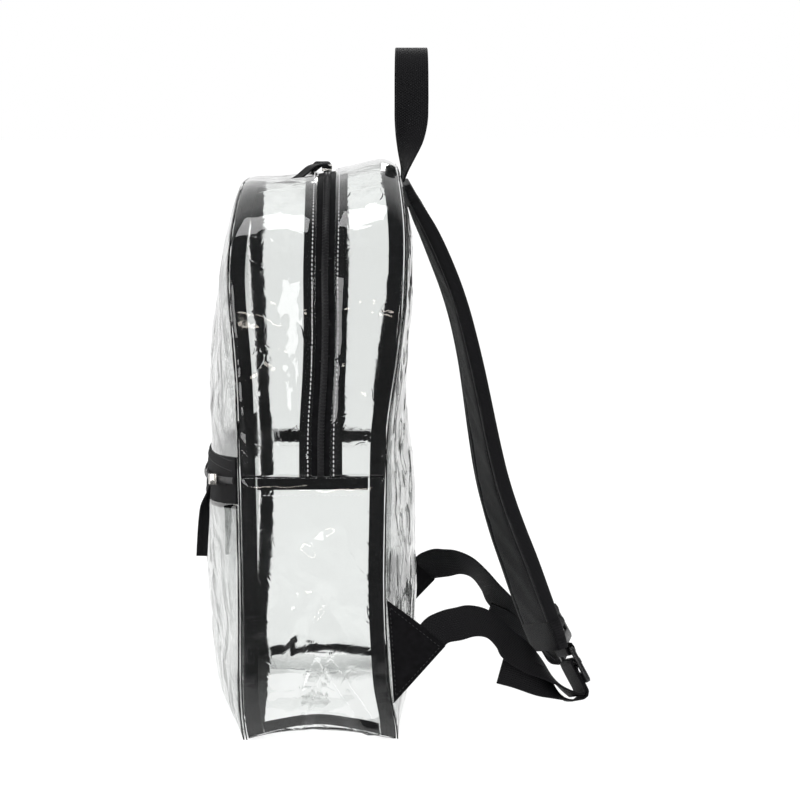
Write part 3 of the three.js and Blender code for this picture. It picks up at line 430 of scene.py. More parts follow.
def gable(piece, height, spread):
    """Raises the two creases of a side panel's gable."""
    mesh = bmesh.new()
    mesh.from_mesh(piece.data)
    for v in mesh.verts:
        place = Vector((0, v.co.y, v.co.z))
        near = 1
        for foot in gable_feet:
            line = foot - gable_top
            share = max(0, min(1, (place - gable_top).dot(line) / line.length_squared))
            near = min(near, (place - gable_top - line * share).length)
        v.co += outward(v.co) * height * max(0, 1 - near / spread)
    mesh.to_mesh(piece.data)
    mesh.free()


sheets = {}
for seed, (node, levels) in enumerate(sheet_names.items()):
    piece = copied(node, f"clear_{node}", levels)
    wrinkle(piece, hem=0.012, reach=0.035, puff=0.0025, soft=0.0016, sharp=0.001, seed=seed)
    if node.startswith("side_panel"):
        gable(piece, height=0.0045, spread=0.01)
    dress(piece, clear_sheet)
    stands_for(piece, node, slot="clear_pvc")
    sheets[node] = piece

# Seam tape
# Woven black binding tape, folded over the sheets' raw edges inside the bag and sewn through.


def weave_height():
    """Fine cross ribs of woven tape, with the threads' own unevenness."""
    group = bpy.data.node_groups.new("woven_threads", "ShaderNodeTree")
    for socket in ("Threads", "Unevenness"):
        group.interface.new_socket(socket, in_out="INPUT", socket_type="NodeSocketFloat")
    group.interface.new_socket("Height", in_out="OUTPUT", socket_type="NodeSocketFloat")
    group.interface.new_socket("Mask", in_out="OUTPUT", socket_type="NodeSocketFloat")
    nodes, links = group.nodes, group.links
    given = nodes.new("NodeGroupInput")
    out = nodes.new("NodeGroupOutput")
    place = nodes.new("ShaderNodeTexCoord")
    apart = nodes.new("ShaderNodeSeparateXYZ")
    links.new(place.outputs["Object"], apart.inputs[0])
    waves = []
    for axis in ("X", "Y", "Z"):
        turns = nodes.new("ShaderNodeMath")
        turns.operation = "MULTIPLY"
        links.new(apart.outputs[axis], turns.inputs[0])
        links.new(given.outputs["Threads"], turns.inputs[1])
        wave = nodes.new("ShaderNodeMath")
        wave.operation = "SINE"
        links.new(turns.outputs[0], wave.inputs[0])
        waves.append(wave)
    both = nodes.new("ShaderNodeMath")
    both.operation = "MULTIPLY"
    links.new(waves[0].outputs[0], both.inputs[0])
    links.new(waves[1].outputs[0], both.inputs[1])
    total = nodes.new("ShaderNodeMath")
    total.operation = "MULTIPLY_ADD"
    links.new(waves[2].outputs[0], total.inputs[0])
    total.inputs[1].default_value = 0.7
    links.new(both.outputs[0], total.inputs[2])
    rough = nodes.new("ShaderNodeTexNoise")
    rough.inputs["Scale"].default_value = 260
    links.new(place.outputs["Object"], rough.inputs["Vector"])
    uneven = nodes.new("ShaderNodeMath")
    uneven.operation = "MULTIPLY_ADD"
    links.new(rough.outputs["Fac"], uneven.inputs[0])
    links.new(given.outputs["Unevenness"], uneven.inputs[1])
    links.new(total.outputs[0], uneven.inputs[2])
    links.new(uneven.outputs[0], out.inputs["Height"])
    links.new(rough.outputs["Fac"], out.inputs["Mask"])
    return group


woven = weave_height()


def woven_material(name, dark, light, threads, depth, roughness, sheen):
    """Black cloth or tape: its threads stand out by a depth, and its tone goes from dark to light."""
    material, nodes, links, shader = plain_material(name)
    threads_in = nodes.new("ShaderNodeGroup")
    threads_in.node_tree = woven
    threads_in.inputs["Threads"].default_value = threads
    threads_in.inputs["Unevenness"].default_value = 0.8
    bump = nodes.new("ShaderNodeBump")
    bump.inputs["Distance"].default_value = depth
    bump.inputs["Strength"].default_value = 0.7
    tone = nodes.new("ShaderNodeMapRange")
    tone.inputs["From Min"].default_value = 0.3
    tone.inputs["From Max"].default_value = 0.8
    colour = nodes.new("ShaderNodeMix")
    colour.data_type = "RGBA"
    colour.inputs[6].default_value = (*dark, 1)
    colour.inputs[7].default_value = (*light, 1)
    shader.inputs["Roughness"].default_value = roughness
    shader.inputs["Specular IOR Level"].default_value = 0.1
    shader.inputs["Sheen Weight"].default_value = sheen
    shader.inputs["Sheen Roughness"].default_value = 0.5
    links.new(threads_in.outputs["Height"], bump.inputs["Height"])
    links.new(threads_in.outputs["Mask"], tone.inputs["Value"])
    links.new(tone.outputs["Result"], colour.inputs[0])
    links.new(colour.outputs[2], shader.inputs["Base Color"])
    links.new(bump.outputs["Normal"], shader.inputs["Normal"])
    return material


seam_tape = woven_material(
    "seam_tape",
    dark=(0.0018, 0.0018, 0.0024),
    light=(0.006, 0.006, 0.007),
    threads=6200,
    depth=0.0003,
    roughness=0.7,
    sheen=0.004,
)
for node in (
    "binding_front",
    "binding_back",
    "side_binding_right",
    "side_binding_left",
    "bottom_binding_right",
    "bottom_binding_left",
):
    piece = copied(node, f"tape_{node}", 2)
    dress(piece, seam_tape)
    stands_for(piece, node, slot="seam_tape")

# Zips
# Nylon coil zips on woven tape: the main one runs over the top from side seam to side seam, and the
# pocket's lies in its black band.

zip_tape = woven_material(
    "zip_tape",
    dark=(0.0018, 0.0018, 0.0024),
    light=(0.006, 0.006, 0.007),
    threads=9000,
    depth=0.0002,
    roughness=0.7,
    sheen=0.004,
)
for node in ("zip_tape_front", "zip_tape_back"):
    piece = copied(node, f"woven_{node}", 2)
    dress(piece, zip_tape)
    stands_for(piece, node, slot="zip_tape")


# The zip's hoop, seen from the front: two straight legs, two round corners and a straight top.
hoop_foot = 0.198
hoop_leg = 0.1315
hoop_shoulder = hoop_foot + hoop_leg
hoop_corner = 0.1414
hoop_radius = 0.09
hoop_top = 0.125
hoop_half = hoop_top / 2
hoop_length = 2 * hoop_leg + 2 * hoop_corner + hoop_top
look_from = 0.2
look_reach = 0.3


def hoop_ray(share):
    """A look at the hoop, at a share of its length: a point outside it, and the way in."""
    run = share * hoop_length
    side = 1
    if run > hoop_length / 2:
        run = hoop_length - run
        side = -1
    if run < hoop_leg:
        core, out = Vector((hoop_half, 0, hoop_foot + run)), Vector((1, 0, 0))
    elif run < hoop_leg + hoop_corner:
        turn = (run - hoop_leg) / hoop_radius
        core = Vector((hoop_half, 0, hoop_shoulder))
        out = Vector((math.cos(turn), 0, math.sin(turn)))
    else:
        along_top = run - hoop_leg - hoop_corner
        core, out = Vector((hoop_half - along_top, 0, hoop_shoulder)), Vector((0, 0, 1))
    core.x *= side
    out.x *= side
    return core + out * look_from, -out


def hoop_share(place):
    """The share of the hoop's length that a point lies at."""
    if place.z < hoop_shoulder and abs(place.x) > 0.1:
        run = place.z - hoop_foot
    elif abs(place.x) > hoop_half:
        run = hoop_leg + hoop_radius * math.atan2(place.z - hoop_shoulder, abs(place.x) - hoop_half)
    else:
        run = hoop_leg + hoop_corner + hoop_half - abs(place.x)
    share = run / hoop_length
    return share if place.x > 0 else 1 - share


def hoop_line(piece, pick, steps=220):
    """A piece's edge along the hoop, as (share, y) pairs: its lowest or highest y at each step."""
    bins = {}
    for v in piece.data.vertices:
        share = hoop_share(v.co)
        bins.setdefault(int(share * steps), []).append(v.co.y)
    return [((i + 0.5) / steps, pick(bins[i])) for i in sorted(bins)]


def read_line(line, share):
    """An edge's y at a share of the hoop's length."""
    for (a, y0), (b, y1) in zip(line, line[1:]):
        if a <= share <= b:
            return y0 + (y1 - y0) * (share - a) / max(1e-9, b - a)
    return line[0][1] if share < line[0][0] else line[-1][1]


def seen_from(piece):
    """A piece's surface, to be met by a look along a line."""
    mesh = bmesh.new()
    mesh.from_mesh(piece.data)
    tree = BVHTree.FromBMesh(mesh)
    mesh.free()
    return tree


def lay(mesh, place, along, out, size):
    """Adds one small rounded bead: a stitch or a tooth, as long, wide and high as its size."""
    side = out.cross(along).normalized()
    up = along.cross(side).normalized()
    turn = Matrix((along.normalized(), side, up)).transposed().to_4x4()
    scale = Matrix.Diagonal((size[0] / 2, size[1] / 2, size[2] / 2, 1))
    bmesh.ops.create_icosphere(
        mesh, subdivisions=1, radius=1, matrix=Matrix.Translation(place) @ turn @ scale
    )


def finished(mesh, name, material, replaced=()):
    """Makes a new piece of a mesh, with its material, hangs it on the root body and hides the solids
    it replaces.
    """
    data = bpy.data.meshes.new(name)
    mesh.to_mesh(data)
    mesh.free()
    piece = bpy.data.objects.new(name, data)
    bpy.context.collection.objects.link(piece)
    data.materials.append(material)
    shade(piece)
    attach(piece, "root")
    if replaced:
        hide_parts(*replaced)
    return piece


coil_nylon, nodes, links, shader = plain_material("coil_nylon")
shader.inputs["Base Color"].default_value = (0.006, 0.006, 0.0068, 1)
marked_roughness(nodes, links, shader, patches=90, scratches=200, low=0.3, high=0.5)
shader.inputs["Specular IOR Level"].default_value = 0.25

coils = {}
for node in ("zip_coil", "pocket_coil"):
    piece = copied(node, f"nylon_{node}", 2)
    dress(piece, coil_nylon)
    stands_for(piece, node, slot="coil_nylon")
    coils[node] = piece
coil_low = hoop_line(coils["zip_coil"], min)
coil_high = hoop_line(coils["zip_coil"], max)
coil_seen = seen_from(coils["zip_coil"])
teeth = bmesh.new()
teeth_apart = 0.0013
tooth_sunk = 0.0002
tooth_off = 0.0011
for i in range(int(hoop_length / teeth_apart)):
    share = (i + 0.5) * teeth_apart / hoop_length
    start, inward = hoop_ray(share)
    start.y = (read_line(coil_low, share) + read_line(coil_high, share)) / 2
    hit = coil_seen.ray_cast(start, inward, look_reach)
    if hit[0] is None:
        continue
    side = 1 if i % 2 else -1
    place = hit[0] + inward * tooth_sunk + Vector((0, side * tooth_off, 0))
    lay(teeth, place, Vector((0, 1, 0)), -inward, (0.0036, tooth_off, 0.0012))
finished(teeth, "zip_teeth", coil_nylon)

# The pocket's coil has the same teeth, laid on it from the front.
coil_start, coil_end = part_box("pocket_coil")
coil_margin = 0.002
pocket_seen = seen_from(coils["pocket_coil"])
teeth = bmesh.new()
for i in range(int((coil_end[0] - coil_start[0] - 2 * coil_margin) / teeth_apart)):
    side = 1 if i % 2 else -1
    across = coil_start[0] + coil_margin + i * teeth_apart
    start = Vector((across, -look_from, (coil_start[2] + coil_end[2]) / 2))
    hit = pocket_seen.ray_cast(start, Vector((0, 1, 0)), look_reach)
    if hit[0] is not None:
        place = hit[0] + Vector((0, tooth_sunk, side * 0.0009))
        lay(teeth, place, Vector((0, 0, 1)), Vector((0, -1, 0)), (0.003, 0.0011, 0.0012))
finished(teeth, "pocket_teeth", coil_nylon)

# The clear strips are sewn to the zip tape with one row of pale thread along each edge.
thread, nodes, links, shader = plain_material("pale_thread")
shader.inputs["Base Color"].default_value = (0.6, 0.6, 0.61, 1)
marked_roughness(nodes, links, shader, patches=400, scratches=900, low=0.35, high=0.55)
dark_thread, nodes, links, shader = plain_material("dark_thread")
shader.inputs["Base Color"].default_value = (0.009, 0.009, 0.0105, 1)
marked_roughness(nodes, links, shader, patches=400, scratches=900, low=0.35, high=0.55)
seam_width = 0.0028
stitch_apart = 0.0034
stitch_half = 0.0011
stitch_lift = 0.0001
for node, pick, away in (("gusset_front", max, -seam_width), ("gusset_back", min, seam_width)):
    line = hoop_line(sheets[node], pick)
    seen = seen_from(sheets[node])
    rows = bmesh.new()
    for i in range(int(hoop_length / stitch_apart)):
        share = (i + 0.5) * stitch_apart / hoop_length
        ends = []
        for shift in (-stitch_half, stitch_half):
            start, inward = hoop_ray(share + shift / hoop_length)
            start.y = read_line(line, share) + away
            hit = seen.ray_cast(start, inward, look_reach)
            if hit[0] is not None:
                ends.append(hit[0])
        if len(ends) == 2:
            middle = (ends[0] + ends[1]) / 2 - inward * stitch_lift
            lay(rows, middle, ends[1] - ends[0], -inward, (0.0024, 0.0009, 0.0007))
    finished(rows, f"stitches_{node}", thread)

slider_metal, nodes, links, shader = plain_material("slider_metal")
shader.inputs["Base Color"].default_value = (0.62, 0.6, 0.57, 1)
shader.inputs["Metallic"].default_value = 1
marked_roughness(nodes, links, shader, patches=160, scratches=420, low=0.12, high=0.34)
for node in ("slider_right", "slider_left", "pocket_slider"):
    piece = copied(node, f"metal_{node}", 0)
    round_edges = piece.modifiers.new("edges", "BEVEL")
    round_edges.width = 0.0003
    round_edges.segments = 2
    settle(piece)
    dress(piece, slider_metal, 0.6)
    stands_for(piece, node, slot="slider_metal")

# Ribbons and webbing
# Woven polypropylene: 25 mm webbing for the handle, the straps' lower ends and the loops that hold
# the ladder locks, and narrow ribbon for the zip pulls. Cut ends are folded and sewn.


def ribbon_rows(node):
    """A flat ribbon's rows, end to end: middle, half its width and half its wall."""
    mesh = bmesh.new()
    mesh.from_mesh(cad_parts[node].data)
    bmesh.ops.remove_doubles(mesh, verts=mesh.verts, dist=2e-5)
    near = {v: {e.other_vert(v) for e in v.link_edges} for v in mesh.verts}
    pairs = [f for f in mesh.faces if sum(e.calc_face_angle(0) > 1 for e in f.edges) == 2]
    ends = []
    for face in pairs:
        for edge in face.edges:
            if edge.calc_face_angle(0) < 0.02:
                other = [f for f in edge.link_faces if f is not face][0]
                if sum(e.calc_face_angle(0) > 1 for e in other.edges) == 2:
                    ends.append(list({*face.verts, *other.verts}))
    ring = ends[0]
    done = set(ring)
    middle = sum((v.co for v in ring), Vector()) / 4
    sides = sorted(ring[1:], key=lambda v: (v.co - ring[0].co).length)
    order = [ring[0], sides[1], sides[2], sides[0]]
    rows = [[v.co.copy() for v in order]]
    while True:
        ring = list({w for v in ring for w in near[v]} - done)
        if len(ring) != 4:
            break
        done.update(ring)
        last = rows[-1]
        best = min(
            permutations(ring), key=lambda some: sum((v.co - p).length for v, p in zip(some, last))
        )
        rows.append([v.co.copy() for v in best])
    mesh.free()
    found = []
    for p0, p1, p2, p3 in rows:
        found.append(
            ((p0 + p1 + p2 + p3) / 4, ((p1 - p0) + (p2 - p3)) / 4, ((p3 - p0) + (p2 - p1)) / 4)
        )
    return found


def even_rows(rows, apart):
    """The same ribbon on a smooth curve, with rows evenly spaced along it."""
    count = len(rows)
    fine = []
    for i in range(count - 1):
        picks = [rows[max(0, i - 1)], rows[i], rows[i + 1], rows[min(count - 1, i + 2)]]
        parts = max(1, round((rows[i + 1][0] - rows[i][0]).length / apart))
        for j in range(parts):
            t = j / parts
            weights = (
                -0.5 * t + t * t - 0.5 * t**3,
                1 - 2.5 * t * t + 1.5 * t**3,
                0.5 * t + 2 * t * t - 1.5 * t**3,
                -0.5 * t * t + 0.5 * t**3,
            )
            fine.append(
                [sum((w * p[k] for w, p in zip(weights, picks)), Vector()) for k in range(3)]
            )
    fine.append([value.copy() for value in rows[-1]])
    return fine


def lofted(rings):
    """A closed skin through rings of points, each with its place on the ribbon's own map."""
    mesh = bmesh.new()
    layer = mesh.loops.layers.uv.new("along")
    count = len(rings[0])
    charted = {}
    ring = bmesh.ops.create_circle(mesh, cap_ends=False, segments=count, radius=1)["verts"]
    edges = list(mesh.edges)
    for k, points in enumerate(rings):
        if k:
            made = bmesh.ops.extrude_edge_only(mesh, edges=edges)["geom"]
            following = {}
            for v in made:
                if isinstance(v, bmesh.types.BMVert):
                    for e in v.link_edges:
                        if e.other_vert(v) in ring:
                            following[e.other_vert(v)] = v
            new = set(following.values())
            edges = [
                e
                for e in made
                if isinstance(e, bmesh.types.BMEdge) and all(v in new for v in e.verts)
            ]
            ring = [following[v] for v in ring]
        for v, (place, chart) in zip(ring, points):
            v.co = place
            charted[v] = chart
    bmesh.ops.holes_fill(mesh, edges=[e for e in mesh.edges if e.is_boundary], sides=count)
    bmesh.ops.recalc_face_normals(mesh, faces=mesh.faces)
    for face in mesh.faces:
        for loop in face.loops:
            loop[layer].uv = charted[loop.vert]
    return mesh


def ribbon_piece(node, name, material, hem=0.0, tuck=0.0):
    """A woven ribbon in place of a CAD node, its selvedges rounded and its low end folded back."""
    rows = even_rows(ribbon_rows(node), 0.0025)
    if rows[0][0].z < rows[-1][0].z:
        rows.reverse()
    if tuck:
        middle, half, wall = rows[0]
        back = (middle - rows[1][0]).normalized()
        rows.insert(0, [middle + back * tuck, half, wall])
    runs = [0]
    for last, row in zip(rows, rows[1:]):
        runs.append(runs[-1] + (row[0] - last[0]).length)
    columns = 8
    across = [-0.97 * math.cos(math.pi * i / columns) for i in range(columns + 1)]
    outline = [(a, 1.0) for a in across] + [(1.0, 0.45), (1.0, -0.45)]
    outline += [(-a, -1.0) for a in across] + [(-1.0, -0.45), (-1.0, 0.45)]
    rings = []
    for (middle, half, wall), run in zip(rows, runs):
        thick = 1.7 if runs[-1] - run < hem else 1.0
        rings.append(
            [(middle + half * a + wall * b * thick, (a * half.length, run)) for a, b in outline]
        )
    return finished(lofted(rings), name, material, (node,))


def webbing_group():
    """Basket weave on a ribbon's own map: cells of warp and weft, turn and turn about."""
    group = bpy.data.node_groups.new("basket_weave", "ShaderNodeTree")
    for socket in ("Across", "Along"):
        group.interface.new_socket(socket, in_out="INPUT", socket_type="NodeSocketFloat")
    group.interface.new_socket("Height", in_out="OUTPUT", socket_type="NodeSocketFloat")
    nodes, links = group.nodes, group.links
    given = nodes.new("NodeGroupInput")
    out = nodes.new("NodeGroupOutput")
    chart = nodes.new("ShaderNodeUVMap")
    chart.uv_map = "along"
    apart = nodes.new("ShaderNodeSeparateXYZ")
    links.new(chart.outputs["UV"], apart.inputs[0])

    def step(kind, *values):
        node = nodes.new("ShaderNodeMath")
        node.operation = kind
        for socket, value in zip(node.inputs, values):
            if isinstance(value, (int, float)):
                socket.default_value = value
            else:
                links.new(value, socket)
        return node.outputs[0]

    across = step("MULTIPLY", apart.outputs["X"], given.outputs["Across"])
    along = step("MULTIPLY", apart.outputs["Y"], given.outputs["Along"])
    row = step("MODULO", step("FLOOR", across), 2.0)
    shifted = step("ADD", along, step("MULTIPLY", row, 0.5))
    warp = step("ABSOLUTE", step("SINE", step("MULTIPLY", across, math.pi)))
    weft = step("ABSOLUTE", step("SINE", step("MULTIPLY", shifted, math.pi)))
    cells = step("MULTIPLY", step("POWER", warp, 0.6), step("POWER", weft, 0.6))
    links.new(cells, out.inputs["Height"])
    return group


basket = webbing_group()


def webbing_material(name, across, along, depth, dark, light):
    """Webbing or ribbed tape, with weave cells so wide across and so long along the piece. Its colour
    carries painted shade: dark in the grooves between cells, light on their crowns.
    """
    material, nodes, links, shader = plain_material(name)
    cells = nodes.new("ShaderNodeGroup")
    cells.node_tree = basket
    cells.inputs["Across"].default_value = 1 / across
    cells.inputs["Along"].default_value = 1 / along
    bump = nodes.new("ShaderNodeBump")
    bump.inputs["Distance"].default_value = depth
    bump.inputs["Strength"].default_value = 0.8
    colour = nodes.new("ShaderNodeMix")
    colour.data_type = "RGBA"
    colour.inputs[6].default_value = (*dark, 1)
    colour.inputs[7].default_value = (*light, 1)
    shader.inputs["Roughness"].default_value = 0.55
    shader.inputs["Specular IOR Level"].default_value = 0.12
    links.new(cells.outputs["Height"], bump.inputs["Height"])
    # Painted shade: the weave's height also sets the colour, dark in the grooves between cells and
    # light on the crowns.
    links.new(cells.outputs["Height"], colour.inputs[0])
    links.new(colour.outputs[2], shader.inputs["Base Color"])
    links.new(bump.outputs["Normal"], shader.inputs["Normal"])
    return material


webbing_cloth = webbing_material(
    "webbing_cloth",
    across=0.0016,
    along=0.0021,
    depth=0.0005,
    dark=(0.001, 0.001, 0.0014),
    light=(0.0065, 0.0062, 0.0074),
)
ribbon_cloth = webbing_material(
    "ribbon_cloth",
    across=0.0085,
    along=0.0009,
    depth=0.0003,
    dark=(0.001, 0.001, 0.0014),
    light=(0.005, 0.0048, 0.006),
)
pull_hem = 0.009
tail_hem = 0.014
into_tab = 0.001
for node, material, slot, hem in (
    ("slider_pull_right", ribbon_cloth, "ribbon", pull_hem),
    ("slider_pull_left", ribbon_cloth, "ribbon", pull_hem),
    ("pocket_pull", ribbon_cloth, "ribbon", pull_hem),
    ("haul_handle", webbing_cloth, "webbing", 0),
    ("webbing_right", webbing_cloth, "webbing", tail_hem),
    ("webbing_left", webbing_cloth, "webbing", tail_hem),
    ("lock_loop_right", webbing_cloth, "webbing", 0),
    ("lock_loop_left", webbing_cloth, "webbing", 0),
):
    tuck = into_tab if node.startswith("webbing") else 0
    ribbon_piece(node, f"woven_{node}", material, hem, tuck)

# Pocket band and side tabs
# Black nylon cloth: the band over the pocket holds its zip, and a triangular tab at the foot of
# each side carries the strap's webbing.

nylon_cloth = woven_material(
    "nylon_cloth",
    dark=(0.0016, 0.0014, 0.002),
    light=(0.005, 0.0046, 0.006),
    threads=8000,
    depth=0.0003,
    roughness=0.65,
    sheen=0.004,
)
for node in ("pocket_band", "side_tab_right", "side_tab_left"):
    piece = copied(node, f"nylon_{node}", 2)
    dress(piece, nylon_cloth)
    stands_for(piece, node, slot="nylon")


def sew(mesh, points, tree, inward, apart=0.0036, length=0.0025):
    """A row of stitches along a line, each laid on the surface that is met along the way in."""
    inward = Vector(inward)
    for start, end in zip(points, points[1:]):
        line = Vector(end) - Vector(start)
        count = max(1, round(line.length / apart))
        for i in range(count):
            middle = Vector(start) + line * (i + 0.5) / count
            ends = []
            for shift in (-length / 2, length / 2):
                start_look = middle + line.normalized() * shift - inward * 0.15
                hit = tree.ray_cast(start_look, inward, look_reach)
                if hit[0] is not None:
                    ends.append(hit[0])
            if len(ends) == 2 and 0.5 * length < (ends[1] - ends[0]).length < 1.6 * length:
                place = (ends[0] + ends[1]) / 2 - inward * stitch_lift
                lay(mesh, place, ends[1] - ends[0], -inward, (length, 0.0006, 0.0005))


def low_edge(node, steps):
    """The lower edge of a band across the side, as its height at even steps from front to back."""
    places = [v.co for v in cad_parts[node].data.vertices]
    front = min(p.y for p in places) + 0.004
    back = max(p.y for p in places) - 0.004
    found = []
    for i in range(steps + 1):
        y = front + (back - front) * i / steps
        found.append((y, min(p.z for p in places if abs(p.y - y) < 0.02)))
    return found


outside = 0.15
for side, inward in (("right", (-1, 0, 0)), ("left", (1, 0, 0))):
    out = -inward[0]
    row = bmesh.new()
    line = [(out * outside, y, z - 0.0036) for y, z in low_edge(f"side_binding_{side}", 8)]
    sew(row, line, seen_from(sheets[f"side_panel_{side}"]), inward)
    finished(row, f"stitches_side_seam_{side}", thread)
    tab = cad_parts[f"side_tab_{side}"]
    places = [Vector((0, v.co.y, v.co.z)) for v in tab.data.vertices]
    corners = [
        max(places, key=lambda p: p.z),
        max(places, key=lambda p: p.y + 0.3 * abs(p.z)),
        min(places, key=lambda p: p.z),
    ]
    middle = sum(corners, Vector()) / 3
    row = bmesh.new()
    inner = [middle + (corner - middle) * 0.86 for corner in corners]
    line = [(out * outside, p.y, p.z) for p in (*inner, inner[0])]
    sew(row, line, seen_from(tab), inward, apart=0.0034, length=0.0023)
    finished(row, f"stitches_side_tab_{side}", dark_thread)

band_seen = seen_from(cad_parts["pocket_band"])
band_margin = 0.006
row = bmesh.new()
for z in (band_low[2] + 0.0035, band_high[2] - 0.0035, band_high[2] - 0.011):
    ends = (band_low[0] + band_margin, band_high[0] - band_margin)
    sew(row, [(x, -0.1, z) for x in ends], band_seen, (0, 1, 0))
finished(row, "stitches_pocket_band", dark_thread)

# Shoulder straps
# Long foam pads in nylon cloth, filled out between their edges and lightly puckered, with ribbed
# tape sewn round both long edges.


def strap_rows(node):
    """A strap's rows, end to end: middle, half its width and half its thickness."""
    mesh = bmesh.new()
    mesh.from_mesh(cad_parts[node].data)
    bmesh.ops.remove_doubles(mesh, verts=mesh.verts, dist=2e-5)
    flat = mesh.copy()
    bmesh.ops.dissolve_limit(flat, angle_limit=0.01, verts=flat.verts, edges=flat.edges)
    cap = max(flat.faces, key=lambda f: len(f.verts))
    corners = [v.co.copy() for v in cap.verts]
    flat.free()
    ring = [v for v in mesh.verts if any((v.co - c).length < 1e-5 for c in corners)]
    done = set(ring)
    size = len(ring)
    rows = []
    while len(ring) == size:
        places = [v.co for v in ring]
        middle = sum(places, Vector()) / size
        pair = max(
            ((a, b) for a in places for b in places), key=lambda some: (some[0] - some[1]).length
        )
        half = (pair[0] - pair[1]).normalized()
        for _ in range(12):
            pulls = ((p - middle) * (p - middle).dot(half) for p in places)
            half = sum(pulls, Vector()).normalized()
        half *= max(abs((p - middle).dot(half)) for p in places)
        if rows and half.dot(rows[-1][1]) < 0:
            half = -half
        rows.append([middle, half, places])
        ring = list({e.other_vert(v) for v in ring for e in v.link_edges} - done)
        done.update(ring)
    for i, row in enumerate(rows):
        tangent = rows[min(len(rows) - 1, i + 1)][0] - rows[max(0, i - 1)][0]
        normal = tangent.cross(row[1]).normalized()
        row[2] = normal * max(abs((p - row[0]).dot(normal)) for p in row[2])
    mesh.free()
    calm = [rows[0]]
    for before, row, after in zip(rows, rows[1:], rows[2:]):
        calm.append([row[0]] + [(before[k] + 2 * row[k] + after[k]) / 4 for k in (1, 2)])
    return [*calm, rows[-1]]


def charted(piece, rows):
    """Gives a pad its own map in metres: across the strap, and along it from its top."""
    tree = KDTree(len(rows))
    runs = [0]
    for i, row in enumerate(rows):
        tree.insert(row[0], i)
        if i:
            runs.append(runs[-1] + (row[0] - rows[i - 1][0]).length)
    tree.balance()
    found = []
    for v in piece.data.vertices:
        i = tree.find(v.co)[1]
        middle, half, wall = rows[i]
        tangent = half.cross(wall).normalized()
        if (rows[min(len(rows) - 1, i + 1)][0] - rows[max(0, i - 1)][0]).dot(tangent) < 0:
            tangent = -tangent
        away = v.co - middle
        found.append((away.dot(half.normalized()), runs[i] + away.dot(tangent)))
    chart = piece.data.uv_layers.new(name="along")
    for loop in piece.data.loops:
        chart.data[loop.index].uv = found[loop.vertex_index]
    return found


def rounded_ring(core, half, wall, wide, deep, count, power):
    """A rounded oblong of points round a row, each with its offsets across and through it."""
    found = []
    for k in range(count):
        turn = 2 * math.pi * k / count
        a, b = math.cos(turn), math.sin(turn)
        a = math.copysign(abs(a) ** power, a) * wide
        b = math.copysign(abs(b) ** power, b) * deep
        found.append((core + half.normalized() * a + wall.normalized() * b, a, b))
    return found


def filled_out(piece, cap):
    """Blows a pad up under its cloth, so far and no farther."""
    rest = [v.co.copy() for v in piece.data.vertices]
    cloth = piece.modifiers.new("cloth", "CLOTH")
    cloth.settings.quality = 4
    cloth.settings.use_pressure = True
    cloth.settings.uniform_pressure_force = 4
    cloth.settings.effector_weights.gravity = 0
    for step in range(1, 21):
        bpy.context.scene.frame_set(step)
    settle(piece)
    bpy.context.scene.frame_set(1)
    for v, start in zip(piece.data.vertices, rest):
        away = v.co - start
        if away.length > cap:
            v.co = start + away.normalized() * cap


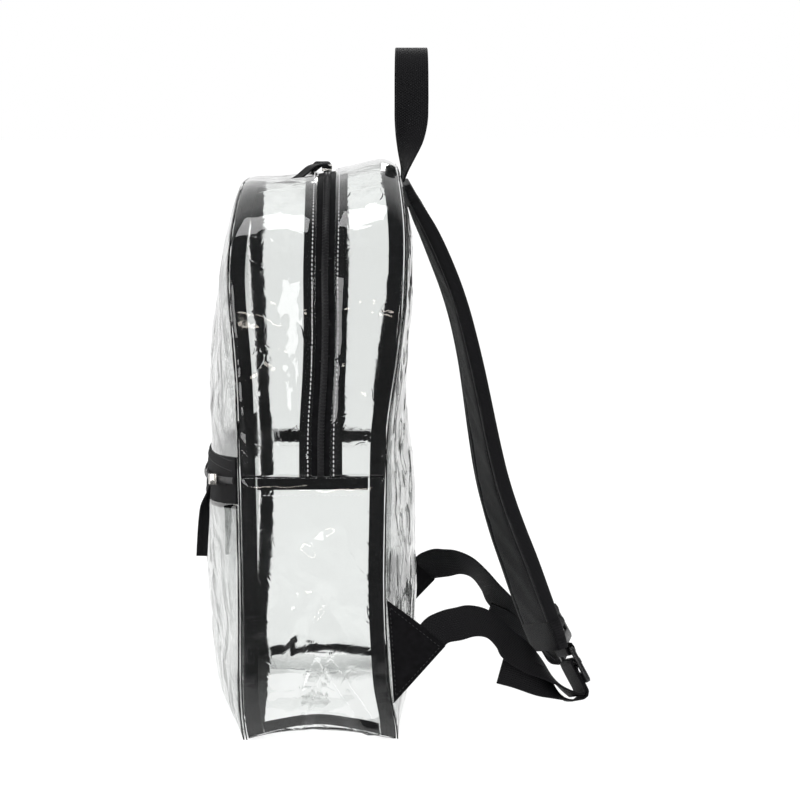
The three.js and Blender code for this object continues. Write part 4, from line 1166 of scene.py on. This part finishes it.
strap_nylon = webbing_material(
    "strap_nylon",
    across=0.0009,
    along=0.0009,
    depth=0.00025,
    dark=(0.002, 0.0018, 0.0024),
    light=(0.0055, 0.0051, 0.0062),
)
edge_ribs = webbing_material(
    "ribbed_edge_tape",
    across=0.012,
    along=0.0011,
    depth=0.0004,
    dark=(0.001, 0.001, 0.0014),
    light=(0.0055, 0.0052, 0.0064),
)
row_apart = 0.003
slimmer = 0.0009
voxel = 0.0032
most_swell = 0.0022
tape_half = 0.0048
tape_proud = 0.0009
stitch_inset = 0.0105
for side in ("right", "left"):
    node = f"shoulder_strap_{side}"
    rows = even_rows(strap_rows(node), row_apart)
    mesh = bmesh.new()
    mesh.from_mesh(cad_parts[node].data)
    bmesh.ops.remove_doubles(mesh, verts=mesh.verts, dist=2e-5)
    mesh.normal_update()
    for v in mesh.verts:
        v.co -= v.normal * slimmer
    data = bpy.data.meshes.new(f"padded_{node}")
    mesh.to_mesh(data)
    mesh.free()
    piece = bpy.data.objects.new(f"padded_{node}", data)
    bpy.context.collection.objects.link(piece)
    even = piece.modifiers.new("even", "REMESH")
    even.mode = "VOXEL"
    even.voxel_size = voxel
    settle(piece)
    filled_out(piece, most_swell)
    smooth = piece.modifiers.new("smooth", "SUBSURF")
    smooth.levels = smooth.render_levels = 1
    settle(piece)
    places = charted(piece, rows)
    mesh = bmesh.new()
    mesh.from_mesh(piece.data)
    mesh.normal_update()
    mesh.verts.ensure_lookup_table()
    for v, (across, along) in zip(mesh.verts, places):
        pucker = noise.noise(Vector((along * 60 + across * 55, across * 14, 3)))
        soft = noise.noise(Vector((along * 22, across * 30, 9)))
        hold = max(0, 1 - (abs(across) / 0.03) ** 4)
        v.co += v.normal * hold * (0.0007 * pucker + 0.0006 * soft)
    mesh.to_mesh(piece.data)
    mesh.free()
    dress(piece, strap_nylon, 1.2)
    stands_for(piece, node, slot="pad_nylon")
    # Both ends are closed with a sleeve of webbing, sewn over the pad and its edge tapes.
    for end, some in (("top", rows[:6]), ("foot", rows[-9:])):
        rings = []
        for i, (middle, half, wall) in enumerate(some):
            wide, deep = half.length + 0.0014, wall.length + 0.0016
            ring = rounded_ring(middle, half, wall, wide, deep, count=28, power=0.35)
            rings.append([(spot, (a, i * row_apart)) for spot, a, b in ring])
        finished(lofted(rings), f"strap_{end}_sleeve_{side}", webbing_cloth)
    padded_seen = seen_from(piece)
    row = bmesh.new()
    for face in (-1, 1):
        for edge in (-1, 1):
            spots = []
            for middle, half, wall in rows[5:-8]:
                hold = half.normalized() * edge * (half.length - stitch_inset)
                spots.append((middle + hold, wall.normalized() * face))
            for (start, out), (end, _) in zip(spots, spots[1:]):
                ends = []
                for share in (0.12, 0.88):
                    begin = start.lerp(end, share) + out * 0.03
                    hit = padded_seen.ray_cast(begin, -out, 0.06)
                    if hit[0] is not None:
                        ends.append(hit[0])
                if len(ends) == 2:
                    middle = sum(ends, Vector()) / 2
                    lay(row, middle, ends[1] - ends[0], out, (0.0022, 0.0006, 0.0005))
    finished(row, f"stitches_strap_{side}", dark_thread)
    for edge in (-1, 1):
        rings = []
        run = 0
        for i, (middle, half, wall) in enumerate(rows):
            if i:
                run += (middle - rows[i - 1][0]).length
            core = middle + edge * half.normalized() * (half.length - tape_half + tape_proud)
            deep = wall.length + 0.0007
            ring = rounded_ring(core, half, wall, tape_half, deep, count=16, power=0.6)
            rings.append([(spot, (a + b, run)) for spot, a, b in ring])
        place = "in" if edge < 0 else "out"
        finished(lofted(rings), f"edge_tape_{side}_{place}", edge_ribs)

# Ladder locks
# Moulded black plastic, one at the foot of each strap, that the webbing is threaded through.

lock_plastic, nodes, links, shader = plain_material("lock_plastic")
shader.inputs["Base Color"].default_value = (0.005, 0.005, 0.0055, 1)
marked_roughness(nodes, links, shader, patches=120, scratches=300, low=0.22, high=0.45)
for node in ("ladder_lock_right", "ladder_lock_left"):
    piece = copied(node, f"moulded_{node}", 0)
    round_edges = piece.modifiers.new("edges", "BEVEL")
    round_edges.width = 0.0006
    round_edges.segments = 3
    settle(piece)
    dress(piece, lock_plastic, 0.6)
    stands_for(piece, node, slot="lock_plastic")
